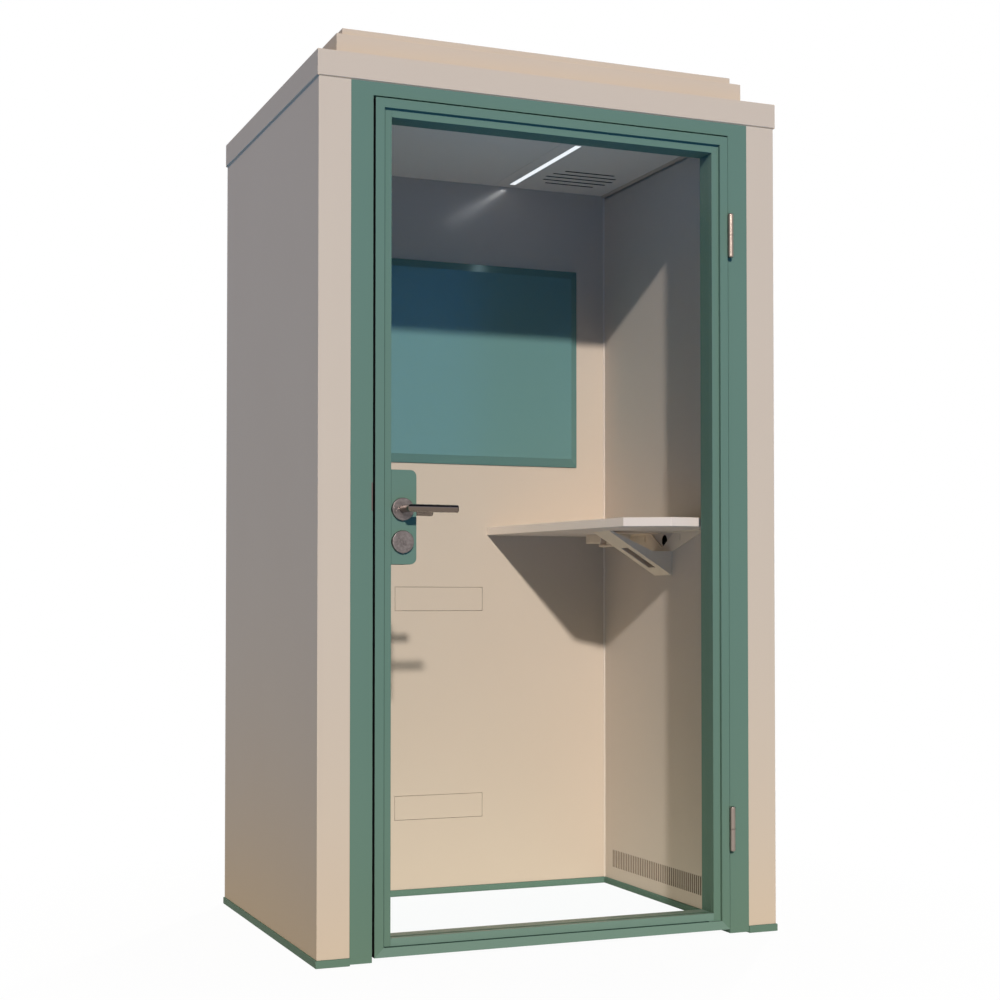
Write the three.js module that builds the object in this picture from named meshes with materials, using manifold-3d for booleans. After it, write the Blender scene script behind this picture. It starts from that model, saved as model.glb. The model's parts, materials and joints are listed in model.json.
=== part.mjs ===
// Acoustic office pod: a one-person booth with insulated walls, a glazed door, a side desk and a fan housing.
// Millimetres, +Z up, the door faces -Y. The origin lies on the floor under the middle of the whole booth.
import * as THREE from 'three';
import { mergeVertices } from 'three/addons/utils/BufferGeometryUtils.js';
import Module from 'manifold-3d';

const wasm = await Module();
wasm.setup();

// Shell
const SHELL_WIDTH = 1200;
const SHELL_DEPTH = 908;
const WALL_TOP = 2038;
const SIDE_WALL = 78;
const BACK_WALL = 73;
const SKIN = 2;
const BASE_HEIGHT = 18;
const BASE_PROUD = 3;
const LINING_GAP = 10;
const LINING_STEP = 8;

// Roof and ceiling
const CAP_HEIGHT = 60;
const CAP_PROUD = 3.5;
const CAP_SHEET = 2;
const CEILING_SHEET = 1.2;
const CEILING_LAP = 20;
const CEILING_CLEAR = 0.5;
const CEILING_SEAM_FROM_WALL = 359;
const CEILING_SEAM = 0.8;
const HOUSING_INSET = 60;
const HOUSING_HEIGHT = 62;
const HOUSING_SHEET = 2;
const LID_INSET = 20;
const LID_HEIGHT = 20;
const LID_LEDGE = 15;

// Light strip in the ceiling
const LED_FROM_WALL = 309;
const LED_FROM_BACK = 31;
const LED_LENGTH = 460;
const LED_WIDTH = 19;
const LED_CORNER = 2;
const LED_WALL = 1.5;
const LED_DEPTH = 18;
const LED_LENS = 3;
const SNUG = 0.3;

// Ceiling vent and fan
const VENT_FROM_WALL = 155;
const VENT_FROM_BACK = 162;
const VENT_RADIUS = 104;
const VENT_SLOT = 10;
const VENT_PITCH = 35.5;
const VENT_ROWS = 5;
const FAN_SIZE = 190;
const FAN_DEPTH = 38;
const FAN_BORE = 166;
const FAN_CORNER = 12;
const FAN_HUB = 60;
const FAN_BLADES = 7;
const FAN_BLADE_CHORD = 38;
const FAN_BLADE_SHEET = 2.4;
const FAN_TIP_GAP = 3;
const FAN_AXLE = 6;
const FAN_STRUT = 8;
const FAN_PLATE = 5;
const BEARING_CLEAR = 0.1;

// Air slots in the right lining, the duct behind them and the outlet in the roof housing
const INTAKE_LENGTH = 662;
const INTAKE_BOTTOM = 54;
const INTAKE_HEIGHT = 50;
const INTAKE_SLOT = 5.5;
const INTAKE_PITCH = 11;
const DUCT_DEPTH = 36;
const PORT_LENGTH = 400;
const PORT_WIDTH = 30;
const OUTLET_LENGTH = 300;
const OUTLET_HEIGHT = 34;
const OUTLET_SLOT = 6;
const OUTLET_PITCH = 14;

// Power supply with the mains inlet
const SUPPLY_FROM_WALL = 222;
const SUPPLY_WIDTH = 160;
const SUPPLY_DEPTH = 70;
const SUPPLY_HEIGHT = 45;
const INLET_WIDTH = 30;
const INLET_HEIGHT = 22;
const INLET_WALL = 3;
const INLET_PROUD = 1.5;
const INLET_RECESS = 14;

// Flush covers in the back lining
const HATCH_WIDTH = 264;
const HATCH_HEIGHT = 66.5;
const HATCH_BOTTOMS = { hatch_upper: 804, hatch_lower: 214 };
const HATCH_GAP = 0.8;
const HATCH_RIM = 12;
const HATCH_POCKET = 30;

// Bevelled board on the back wall
const BOARD_WIDTH = 860;
const BOARD_BOTTOM = 1224;
const BOARD_HEIGHT = 579;
const BOARD_DEPTH = 20;
const BOARD_BEVEL = 24;
const BOARD_EDGE = 4;

// Desk, bracket and power box
const DESK_TOP = 1044;
const DESK_BOARD = 23;
const DESK_LENGTH = 751;
const DESK_BACK_WIDTH = 375;
const DESK_FRONT_WIDTH = 277;
const DESK_CORNER_X = 105;
const DESK_CORNER_Y = 62;
const BRACKET_SHEET = 3;
const BRACKET_TOP_WIDTH = 490;
const BRACKET_FOOT_WIDTH = 115;
const BRACKET_PLATE_HEIGHT = 53;
const BRACKET_FLANGE = 20;
const BRACKET_NOTCH_WIDTH = 132;
const BRACKET_NOTCH_DEPTH = 42;
const BRACKET_SLOT_OFFSET = 104;
const BRACKET_SLOT_WIDTH = 4;
const BRACKET_SLOT_HEIGHT = 16;
const STRUT_WIDTH = 100;
const STRUT_REACH = 190;
const STRUT_DROP = 119;
const STRUT_WEB_SHELF = 58;
const STRUT_SLOT_WIDTH = 42;
const STRUT_SLOT_FROM = 71;
const STRUT_SLOT_TO = 158;
const CABLE_HOLE = 32;
const CABLE_HOLE_OFFSET = -8;
const CABLE_HOLE_DROP = 23;
const POWER_BOX_WIDTH = 94;
const POWER_BOX_DEPTH = 98;
const POWER_BOX_HEIGHT = 25;
const POWER_BOX_FROM_WALL = 70;
const POWER_BOX_FROM_BACK = 169;
const STRAP_DROP = 12;
const STRAP_SHEET = 5;
const STRAP_BAND = 20;
const STRAP_LAP = 9;

// Door frame
const JAMB_FACE = 53.5;
const HEAD_FACE = 33;
const JAMB_FLOOR_GAP = 3;
const STOP_SHEET = 10;
const STOP_PROJECTION = 15.5;
const SEAL_DEPTH = 4;
const SEAL_WIDTH = 8;
const SEAL_SET = 1;

// Door leaf
const LEAF_GAP = 4;
const LEAF_HEAD_GAP = 5;
const LEAF_FLOOR_GAP = 14;
const LEAF_DEPTH = 70;
const LEAF_PROUD = 6;
const MEMBER = 41.5;
const MEMBER_FACE = 22;
const BEAD_SET = 8.5;
const BEAD_DEPTH = 11.5;
const GLASS = 11.5;
const GLAZING_CLEAR = 0.25;
const GLASS_EDGE_CLEAR = 3.5;

// Lock, levers and turn
const LEVER_HEIGHT = 1045;
const TURN_DROP = 76;
const LOCK_SET = 32;
const LOCK_AXIS_SET = 27.3;
const LOCK_BOX_WIDTH = 62.5;
const LOCK_BOX_DROP = 128;
const LOCK_BOX_HEIGHT = 220;
const LOCK_BOX_CORNER = 15;
const LOCK_BOX_WALL = 3;
const LOCK_BOX_SET = 5;
const LOCK_CASE_DEPTH = 16;
const LOCK_CASE_WALL = 1.5;
const LOCK_CASE_DROP = 100;
const LOCK_CASE_HEIGHT = 170;
const LOCK_CASE_BACK = 30;
const FOREND = 3;
const FOREND_WIDTH = 22;
const FOREND_LAP = 6;
const LATCH_RISE = 27;
const LATCH_HEIGHT = 20;
const LATCH_LENGTH = 24;
const LATCH_THROW = 11;
const BOLT_RISE = 21;
const BOLT_HEIGHT = 22;
const BOLT_LENGTH = 40;
const BOLT_THROW = 16;
const BOLT_WIDTH = 11;
const BOLT_CLEAR = 0.5;
const BOLT_SET = 0.3;
const STRIKE = 3;
const STRIKE_RISE = 60;
const STRIKE_LIP_DROP = 5;
const STRIKE_DROP = 77;
const STRIKE_WIDTH = 26;
const STRIKE_POCKET = 16;
const ROSETTE = 53;
const ROSETTE_DEPTH = 9;
const ROSETTE_EDGE = 1.5;
const LEVER_BAR = 18;
const LEVER_REACH = 115.5;
const LEVER_STANDOFF = 61;
const MITRE_LAP = 0.05;
const SPINDLE = 8;
const SPINDLE_SOCKET = 30;
const FOLLOWER = 20;
const RELEASE_DISC = 14;
const RELEASE_SLOT = 1.6;
const RELEASE_SLOT_LENGTH = 9;
const TURN_SPINDLE = 6;
const TURN_GRIP_LENGTH = 30;
const TURN_GRIP_WIDTH = 9;
const TURN_GRIP_HEIGHT = 20;
const RUNNING_CLEAR = 0.1;

// Barrel hinges
const HINGE_FROM_END = 250;
const HINGE_LENGTH = 112;
const HINGE_BARREL = 14;
const HINGE_OUT = 13;
const HINGE_PIN = 6.4;
const HINGE_PIN_LENGTH = 40;
const HINGE_LEAF = 1.7;
const HINGE_LEAF_DEPTH = 45;
const HINGE_SPLIT = 0.6;
const HINGE_BORE_CLEAR = 0.1;

// Places that several pieces share
const wallOut = SHELL_WIDTH / 2;
const wallIn = wallOut - SIDE_WALL;
const front = -SHELL_DEPTH / 2;
const back = SHELL_DEPTH / 2;
const backIn = back - BACK_WALL;
const opening = wallIn - JAMB_FACE;
const leafFront = front - LEAF_PROUD;
const leafBack = leafFront + LEAF_DEPTH;
const stopFront = leafBack + SEAL_DEPTH;
const frameBack = stopFront + STOP_SHEET;
const headBottom = WALL_TOP - HEAD_FACE;
const capTop = WALL_TOP + CAP_HEIGHT;
const capX = wallOut + CAP_PROUD;
const capY = back + CAP_PROUD;
const housingX = wallOut - HOUSING_INSET;
const housingY = back - HOUSING_INSET;
const housingTop = capTop + HOUSING_HEIGHT;
const ceilingTop = WALL_TOP + CEILING_SHEET;
const roofCoreBottom = WALL_TOP + Math.max(CEILING_SHEET, CAP_SHEET);
const seamX = wallIn - CEILING_SEAM_FROM_WALL;
const ledX = wallIn - LED_FROM_WALL;
const ventX = wallIn - VENT_FROM_WALL;
const ventY = backIn - VENT_FROM_BACK;
const supplyX = SUPPLY_FROM_WALL - wallIn;
const leafX = opening - LEAF_GAP;
const leafTop = headBottom - LEAF_HEAD_GAP;
const glassFront = leafFront + BEAD_SET + BEAD_DEPTH + GLAZING_CLEAR;
const glassBack = glassFront + GLASS;
const rebateBack = glassBack + GLAZING_CLEAR;
const lockY = leafBack - LOCK_SET;
const lockBoxLeft = -leafX + MEMBER + SNUG;
const lockBoxRight = lockBoxLeft + LOCK_BOX_WIDTH;
const lockBoxFront = front + LOCK_BOX_SET;
const lockBoxBack = leafBack - LOCK_BOX_SET;
const lockBoxZ = [LEVER_HEIGHT - LOCK_BOX_DROP, LEVER_HEIGHT - LOCK_BOX_DROP + LOCK_BOX_HEIGHT];
const leverX = lockBoxLeft + LOCK_AXIS_SET;
const turnHeight = LEVER_HEIGHT - TURN_DROP;
const latchHeight = LEVER_HEIGHT + LATCH_RISE;
const boltHeight = turnHeight + BOLT_RISE;
const forendFace = -leafX;
const caseFront = forendFace + FOREND;
const caseX = [caseFront, leverX + LOCK_CASE_BACK];
const caseY = [lockY - LOCK_CASE_DEPTH / 2, lockY + LOCK_CASE_DEPTH / 2];
const caseZ = [LEVER_HEIGHT - LOCK_CASE_DROP, LEVER_HEIGHT - LOCK_CASE_DROP + LOCK_CASE_HEIGHT];
const deskBottom = DESK_TOP - DESK_BOARD;
const deskFront = backIn - DESK_LENGTH;
const bracketY = (backIn + deskFront) / 2;

// Geometry helpers

function solid(geometry) {
  geometry.deleteAttribute('normal');
  geometry.deleteAttribute('uv');
  const merged = mergeVertices(geometry, 1e-4);
  const vertProperties = new Float32Array(merged.attributes.position.array);
  const triVerts = new Uint32Array(merged.index.array);
  return new wasm.Manifold(new wasm.Mesh({ numProp: 3, vertProperties, triVerts }));
}

// Move every vertex by a rule, so that faces which meet get exactly the same coordinate.
function remap(geometry, rule) {
  const position = geometry.attributes.position;
  for (let i = 0; i < position.count; i += 1) {
    const [x, y, z] = rule(position.getX(i), position.getY(i), position.getZ(i));
    position.setXYZ(i, x, y, z);
  }
  return geometry;
}

function block(x, y, z) {
  const pick = (range, value) => (value < 0 ? Math.min(...range) : Math.max(...range));
  const unit = new THREE.BoxGeometry(1, 1, 1);
  return solid(remap(unit, (a, b, c) => [pick(x, a), pick(y, b), pick(z, c)]));
}

function outline(points) {
  return new THREE.Shape(points.map(([a, b]) => new THREE.Vector2(a, b)));
}

// Rectangle with a radius on each corner: lower left, lower right, upper right, upper left.
function roundedRectangle([x0, x1], [y0, y1], [lowLeft, lowRight, highRight, highLeft]) {
  const shape = new THREE.Shape();
  const corner = (x, y, radius, turn) => {
    if (radius > 0) {
      shape.absarc(x, y, radius, turn * Math.PI / 2, (turn + 1) * Math.PI / 2, false);
    } else {
      shape.lineTo(x, y);
    }
  };
  shape.moveTo(x0 + lowLeft, y0);
  corner(x1 - lowRight, y0 + lowRight, lowRight, 3);
  corner(x1 - highRight, y1 - highRight, highRight, 0);
  corner(x0 + highLeft, y1 - highLeft, highLeft, 1);
  corner(x0 + lowLeft, y0 + lowLeft, lowLeft, 2);
  return shape;
}

// Extrude an outline along one axis. Along x the outline holds (y, z), along y (x, z), along z (x, y).
function prism(axis, shape, [from, to], curveSegments = 8) {
  const geometry = new THREE.ExtrudeGeometry(shape, { depth: 1, bevelEnabled: false, curveSegments });
  const along = (depth) => (depth < 0.5 ? from : to);
  const flipped = (depth) => (depth < 0.5 ? to : from);
  const rules = {
    x: (a, b, depth) => [along(depth), a, b],
    y: (a, b, depth) => [a, flipped(depth), b],
    z: (a, b, depth) => [a, b, along(depth)],
  };
  return solid(remap(geometry, rules[axis]));
}

// Revolve a profile of (radius, height) points, listed from the low end of the axis to the high end.
function turned(axis, profile, centre, segments) {
  const points = profile.map(([radius, height]) => new THREE.Vector2(radius, height));
  const geometry = new THREE.LatheGeometry(points, segments);
  if (axis === 'z') {
    geometry.rotateX(Math.PI / 2);
  }
  geometry.translate(...centre);
  return solid(geometry);
}

function rod(axis, diameter, [from, to], [a, b], segments = 24) {
  const radius = diameter / 2;
  const geometry = new THREE.CylinderGeometry(radius, radius, 1, segments);
  const along = (height) => (height < 0 ? from : to);
  const rules = {
    x: (u, height, v) => [along(height), a - u, b + v],
    y: (u, height, v) => [a + u, along(height), b + v],
    z: (u, height, v) => [a + u, b - v, along(height)],
  };
  return solid(remap(geometry, rules[axis]));
}

function join(first, ...others) {
  return others.reduce((whole, piece) => whole.add(piece), first);
}

function cut(first, ...tools) {
  return tools.reduce((whole, tool) => whole.subtract(tool), first);
}

// Middle places of a row of equal slots that fits inside a length.
function row(middle, length, slot, pitch) {
  const count = Math.floor((length - slot) / pitch) + 1;
  const first = middle - (count - 1) * pitch / 2;
  return Array.from({ length: count }, (unused, i) => first + i * pitch);
}

function around(middle, size) {
  return [middle - size / 2, middle + size / 2];
}

// Finishes

const finish = {
  shell: { color: 0xccbfb2, roughness: 0.5, metalness: 0.0 },
  frame: { color: 0x64857a, roughness: 0.45, metalness: 0.0 },
  infill: { color: 0x8f8c86, roughness: 0.95, metalness: 0.0 },
  board: { color: 0x5f8480, roughness: 0.9, metalness: 0.0 },
  desk: { color: 0xe3d8d0, roughness: 0.5, metalness: 0.0 },
  steel: { color: 0xa39a93, roughness: 0.35, metalness: 0.9 },
  aluminium: { color: 0xb9b8b5, roughness: 0.4, metalness: 0.9 },
  glass: { color: 0xe8efed, roughness: 0.05, metalness: 0.0, transparent: true, opacity: 0.25 },
  rubber: { color: 0x1d1e1e, roughness: 0.8, metalness: 0.0 },
  plastic: { color: 0x2b2c2e, roughness: 0.5, metalness: 0.0 },
  light: { color: 0xffffff, roughness: 0.4, metalness: 0.0, emissive: 0xffffff },
};

const pod = new THREE.Group();

function addPart(name, body, look) {
  const mesh = body.getMesh();
  const geometry = new THREE.BufferGeometry();
  geometry.setAttribute('position', new THREE.BufferAttribute(mesh.vertProperties, 3));
  geometry.setIndex(new THREE.BufferAttribute(mesh.triVerts, 1));
  geometry.computeVertexNormals();
  const part = new THREE.Mesh(geometry, new THREE.MeshStandardMaterial(look));
  part.name = name;
  pod.add(part);
}

// Base frame: a low plinth under the three walls, proud of them on both faces, narrower beside the door frame.

function baseFrame() {
  const outX = wallOut + BASE_PROUD;
  const inX = wallIn - BASE_PROUD;
  const inY = backIn - BASE_PROUD;
  const half = [
    [inX, inY],
    [inX, frameBack],
    [wallIn, frameBack],
    [wallIn, front - BASE_PROUD],
    [outX, front - BASE_PROUD],
    [outX, back + BASE_PROUD],
  ];
  const mirrored = half.map(([x, y]) => [-x, y]).reverse();
  return prism('z', outline([...half, ...mirrored]), [0, BASE_HEIGHT]);
}

// Side walls: an outer sheet folded round both ends, infill, and a lining that steps back below the ceiling.

const wallHeight = [BASE_HEIGHT, WALL_TOP];
const wallEnds = [front + SKIN, back - SKIN];

function sideOuterSkin(side) {
  const inside = side * (wallOut - SKIN);
  const shape = outline([
    [side * wallOut, front],
    [side * wallIn, front],
    [side * wallIn, wallEnds[0]],
    [inside, wallEnds[0]],
    [inside, wallEnds[1]],
    [side * wallIn, wallEnds[1]],
    [side * wallIn, back],
    [side * wallOut, back],
  ]);
  return prism('z', shape, wallHeight);
}

const liningStepBottom = WALL_TOP - LINING_GAP;
const liningBack = wallIn + SKIN;
const liningStepFace = wallIn + LINING_STEP;
const liningStepBack = liningStepFace + SKIN;
const liningStepUnder = liningStepBottom - SKIN;

function sideInnerSkin(side) {
  const shape = outline([
    [side * wallIn, BASE_HEIGHT],
    [side * wallIn, liningStepBottom],
    [side * liningStepFace, liningStepBottom],
    [side * liningStepFace, WALL_TOP],
    [side * liningStepBack, WALL_TOP],
    [side * liningStepBack, liningStepUnder],
    [side * liningBack, liningStepUnder],
    [side * liningBack, BASE_HEIGHT],
  ]);
  return prism('y', shape, wallEnds);
}

function sideCore(side) {
  const shape = outline([
    [side * liningBack, BASE_HEIGHT],
    [side * liningBack, liningStepUnder],
    [side * liningStepBack, liningStepUnder],
    [side * liningStepBack, WALL_TOP],
    [side * (wallOut - SKIN), WALL_TOP],
    [side * (wallOut - SKIN), BASE_HEIGHT],
  ]);
  return prism('y', shape, wallEnds);
}

// The right lining has the row of air slots and the cable hole; a duct rises behind them in the infill.

function rightInnerSkin() {
  const through = [wallIn - SKIN, liningBack + SKIN];
  const heights = [INTAKE_BOTTOM, INTAKE_BOTTOM + INTAKE_HEIGHT];
  const slots = row(0, INTAKE_LENGTH, INTAKE_SLOT, INTAKE_PITCH).map((y) => (
    block(through, around(y, INTAKE_SLOT), heights)
  ));
  const cable = rod('x', CABLE_HOLE, through, [bracketY + CABLE_HOLE_OFFSET, deskBottom - CABLE_HOLE_DROP]);
  return cut(sideInnerSkin(1), ...slots, cable);
}

function rightCore() {
  const duct = block(
    [liningBack, liningBack + DUCT_DEPTH],
    around(0, INTAKE_LENGTH),
    [INTAKE_BOTTOM, WALL_TOP + SKIN],
  );
  return cut(sideCore(1), duct);
}

// Back wall: two flat sheets with infill between them, and two pockets closed by flush covers.

function hatchCut(bottom, depth) {
  return block(
    around(0, HATCH_WIDTH + 2 * HATCH_GAP),
    [backIn - SKIN, backIn + depth],
    [bottom - HATCH_GAP, bottom + HATCH_HEIGHT + HATCH_GAP],
  );
}

function backSheet(depths) {
  return block([-wallIn, wallIn], depths, wallHeight);
}

function backInnerSkin() {
  const cuts = Object.values(HATCH_BOTTOMS).map((bottom) => hatchCut(bottom, 2 * SKIN));
  return cut(backSheet([backIn, backIn + SKIN]), ...cuts);
}

function backCore() {
  const pockets = Object.values(HATCH_BOTTOMS).map((bottom) => hatchCut(bottom, HATCH_POCKET));
  return cut(backSheet([backIn + SKIN, back - SKIN]), ...pockets);
}

function hatch(bottom) {
  const tray = block(
    around(0, HATCH_WIDTH),
    [backIn, backIn + HATCH_RIM],
    [bottom, bottom + HATCH_HEIGHT],
  );
  const hollow = block(
    around(0, HATCH_WIDTH - 2 * SKIN),
    [backIn + SKIN, backIn + 2 * HATCH_RIM],
    [bottom + SKIN, bottom + HATCH_HEIGHT - SKIN],
  );
  return cut(tray, hollow);
}

// Ceiling panels lie on the wall tops, inside the window of the roof pan.

const ceilingX = wallIn + CEILING_LAP - CEILING_CLEAR;
const ceilingY = [frameBack - CEILING_LAP + CEILING_CLEAR, backIn + CEILING_LAP - CEILING_CLEAR];
const ceilingZ = [WALL_TOP, ceilingTop];
const ledY = [backIn - LED_FROM_BACK - LED_LENGTH, backIn - LED_FROM_BACK];

function ledOutline(grow) {
  const radius = LED_CORNER + grow;
  const lengths = [ledY[0] - grow, ledY[1] + grow];
  return roundedRectangle(around(ledX, LED_WIDTH + 2 * grow), lengths, [radius, radius, radius, radius]);
}

function ceilingPanel() {
  return block([-ceilingX, seamX - CEILING_SEAM / 2], ceilingY, ceilingZ);
}

function ceilingServicePanel() {
  const panel = block([seamX + CEILING_SEAM / 2, ceilingX], ceilingY, ceilingZ);
  const through = [WALL_TOP - CEILING_SHEET, ceilingTop + CEILING_SHEET];
  const slots = Array.from({ length: VENT_ROWS }, (unused, i) => {
    const offset = (i - (VENT_ROWS - 1) / 2) * VENT_PITCH;
    const chord = 2 * Math.sqrt(VENT_RADIUS ** 2 - offset ** 2);
    return block(around(ventX, chord), around(ventY + offset, VENT_SLOT), through);
  });
  return cut(panel, prism('z', ledOutline(LED_WALL + SNUG), through), ...slots);
}

function ledChannel() {
  const top = WALL_TOP + LED_DEPTH;
  const body = prism('z', ledOutline(LED_WALL), [WALL_TOP, top]);
  return cut(body, prism('z', ledOutline(0), [WALL_TOP - LED_WALL, top - LED_WALL]));
}

function ledDiffuser() {
  return prism('z', ledOutline(-SNUG), [WALL_TOP, WALL_TOP + LED_LENS]);
}

// Roof pan: a folded tray upside down on the walls, with a window for the ceiling and ports for air.

const portY = around(0, PORT_LENGTH);
const portTopX = [housingX - HOUSING_SHEET - 2 * PORT_WIDTH, housingX - HOUSING_SHEET - PORT_WIDTH];
const portWallX = [wallIn + CEILING_LAP, liningBack + DUCT_DEPTH];

function roofCap() {
  const inX = capX - CAP_SHEET;
  const inY = capY - CAP_SHEET;
  const pan = block([-capX, capX], [-capY, capY], [WALL_TOP, capTop]);
  const hollow = block([-inX, inX], [-inY, inY], [WALL_TOP + CAP_SHEET, capTop - CAP_SHEET]);
  const windowX = wallIn + CEILING_LAP;
  const window = block(
    [-windowX, windowX],
    [frameBack - CEILING_LAP, backIn + CEILING_LAP],
    [WALL_TOP - CAP_SHEET, WALL_TOP + 2 * CAP_SHEET],
  );
  const fanHole = rod('z', FAN_BORE, [capTop - 2 * CAP_SHEET, capTop + CAP_SHEET], [ventX, ventY], 36);
  const topPort = block(portTopX, portY, [capTop - 2 * CAP_SHEET, capTop + CAP_SHEET]);
  const wallPort = block(portWallX, portY, [WALL_TOP - CAP_SHEET, WALL_TOP + 2 * CAP_SHEET]);
  return cut(pan, hollow, window, fanHole, topPort, wallPort);
}

function roofCore() {
  const reachX = capX - CAP_SHEET;
  const reachY = capY - CAP_SHEET;
  const core = block([-reachX, reachX], [-reachY, reachY], [roofCoreBottom, capTop - CAP_SHEET]);
  const through = [WALL_TOP, capTop];
  const lightPocket = prism('z', ledOutline(LED_WALL + SNUG), [WALL_TOP, WALL_TOP + LED_DEPTH + SNUG]);
  const fanDuct = rod('z', 2 * VENT_RADIUS, through, [ventX, ventY], 36);
  const airWay = block([portTopX[0], portWallX[1]], portY, through);
  return cut(core, lightPocket, fanDuct, airWay);
}

// Raised fan housing: a tray open below, with a service window under its lid and an outlet at the back.

const inletZ = around(capTop + SUPPLY_HEIGHT / 2, INLET_HEIGHT);

function roofHousing() {
  const inX = housingX - HOUSING_SHEET;
  const inY = housingY - HOUSING_SHEET;
  const tray = block([-housingX, housingX], [-housingY, housingY], [capTop, housingTop]);
  const hollow = block([-inX, inX], [-inY, inY], [capTop - HOUSING_SHEET, housingTop - HOUSING_SHEET]);
  const ledge = LID_INSET + HOUSING_SHEET + LID_LEDGE;
  const window = block(
    [ledge - housingX, housingX - ledge],
    [ledge - housingY, housingY - ledge],
    [housingTop - 2 * HOUSING_SHEET, housingTop + HOUSING_SHEET],
  );
  const rear = [inY - HOUSING_SHEET, housingY + HOUSING_SHEET];
  const outletZ = around(capTop + HOUSING_HEIGHT / 2, OUTLET_HEIGHT);
  const outlets = row(ventX, OUTLET_LENGTH, OUTLET_SLOT, OUTLET_PITCH).map((x) => (
    block(around(x, OUTLET_SLOT), rear, outletZ)
  ));
  const inlet = block(
    around(supplyX, INLET_WIDTH + 2 * SNUG),
    rear,
    [inletZ[0] - SNUG, inletZ[1] + SNUG],
  );
  return cut(tray, hollow, window, inlet, ...outlets);
}

function roofHousingLid() {
  const lidX = housingX - LID_INSET;
  const lidY = housingY - LID_INSET;
  const lidTop = housingTop + LID_HEIGHT;
  const tray = block([-lidX, lidX], [-lidY, lidY], [housingTop, lidTop]);
  const inX = lidX - HOUSING_SHEET;
  const inY = lidY - HOUSING_SHEET;
  const hollow = block([-inX, inX], [-inY, inY], [housingTop - HOUSING_SHEET, lidTop - HOUSING_SHEET]);
  return cut(tray, hollow);
}

function powerSupply() {
  const rear = housingY - HOUSING_SHEET - SNUG;
  const body = block(
    around(supplyX, SUPPLY_WIDTH),
    [rear - SUPPLY_DEPTH, rear],
    [capTop, capTop + SUPPLY_HEIGHT],
  );
  const inletFace = housingY + INLET_PROUD;
  const inlet = block(around(supplyX, INLET_WIDTH), [rear - INLET_WALL, inletFace], inletZ);
  const socket = block(
    around(supplyX, INLET_WIDTH - 2 * INLET_WALL),
    [inletFace - INLET_RECESS, inletFace + INLET_PROUD],
    [inletZ[0] + INLET_WALL, inletZ[1] - INLET_WALL],
  );
  return cut(join(body, inlet), socket);
}

// Fan: a square frame with four struts and a bearing, and a rotor with twisted blades.

const fanBottom = capTop;
const fanHubBottom = fanBottom + FAN_PLATE + FAN_TIP_GAP;
const fanHubTop = fanBottom + FAN_DEPTH - FAN_TIP_GAP;

function fanFrame() {
  const corners = [FAN_CORNER, FAN_CORNER, FAN_CORNER, FAN_CORNER];
  const square = roundedRectangle(around(ventX, FAN_SIZE), around(ventY, FAN_SIZE), corners);
  const heights = [fanBottom, fanBottom + FAN_DEPTH];
  const plate = [fanBottom, fanBottom + FAN_PLATE];
  const bore = rod('z', FAN_BORE, [heights[0] - 1, heights[1] + 1], [ventX, ventY], 36);
  const ring = cut(prism('z', square, heights, 4), bore);
  const strutsX = block(around(ventX, FAN_BORE + FAN_STRUT), around(ventY, FAN_STRUT), plate);
  const strutsY = block(around(ventX, FAN_STRUT), around(ventY, FAN_BORE + FAN_STRUT), plate);
  const motor = rod('z', FAN_HUB, plate, [ventX, ventY]);
  const bearing = rod('z', FAN_AXLE + 2 * BEARING_CLEAR, [plate[0] - 1, plate[1] + 1], [ventX, ventY]);
  return cut(join(ring, strutsX, strutsY, motor), bearing);
}

function fanBlade() {
  const inner = FAN_HUB / 2 - FAN_BLADE_SHEET;
  const outer = FAN_BORE / 2 - FAN_TIP_GAP;
  const rootPitch = 0.75;
  const tipPitch = 0.42;
  const steps = 5;
  const blade = new THREE.BoxGeometry(outer - inner, FAN_BLADE_CHORD, FAN_BLADE_SHEET, steps, 1, 1);
  return remap(blade, (x, y, z) => {
    const along = x / (outer - inner) + 0.5;
    const pitch = rootPitch + (tipPitch - rootPitch) * along;
    const radius = inner + along * (outer - inner);
    return [radius, y * Math.cos(pitch) - z * Math.sin(pitch), y * Math.sin(pitch) + z * Math.cos(pitch)];
  });
}

function fanRotor() {
  const middle = (fanHubBottom + fanHubTop) / 2;
  const hub = rod('z', FAN_HUB, [fanHubBottom, fanHubTop], [ventX, ventY]);
  const axle = rod('z', FAN_AXLE, [fanBottom, fanHubBottom + 1], [ventX, ventY]);
  const blades = Array.from({ length: FAN_BLADES }, (unused, i) => {
    const blade = fanBlade();
    blade.rotateZ(i * 2 * Math.PI / FAN_BLADES);
    blade.translate(ventX, ventY, middle);
    return solid(blade);
  });
  return join(hub, axle, ...blades);
}

// Board on the back wall: a flat panel with wide bevels on all four sides.

function acousticBoard() {
  const halfWidth = BOARD_WIDTH / 2;
  const heights = [BOARD_BOTTOM, BOARD_BOTTOM + BOARD_HEIGHT];
  const edge = backIn - BOARD_EDGE;
  const base = block([-halfWidth, halfWidth], [edge, backIn], heights);
  const face = new THREE.BoxGeometry(1, 1, 1);
  const bevelled = solid(remap(face, (x, y, z) => {
    const inset = y < 0 ? BOARD_BEVEL : 0;
    return [
      Math.sign(x) * (halfWidth - inset),
      y < 0 ? backIn - BOARD_DEPTH : edge,
      z < 0 ? heights[0] + inset : heights[1] - inset,
    ];
  }));
  return join(base, bevelled);
}

// Desk along the right wall, narrower at the door, with a cut corner.

function deskTop() {
  const shape = outline([
    [wallIn, backIn],
    [wallIn - DESK_BACK_WIDTH, backIn],
    [wallIn - DESK_FRONT_WIDTH, deskFront + DESK_CORNER_Y],
    [wallIn - DESK_FRONT_WIDTH + DESK_CORNER_X, deskFront],
    [wallIn, deskFront],
  ]);
  return prism('z', shape, [deskBottom, DESK_TOP]);
}

// Sheet bracket on the right wall: a flared wall plate, a top flange, and a slotted strut with two webs.

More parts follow.
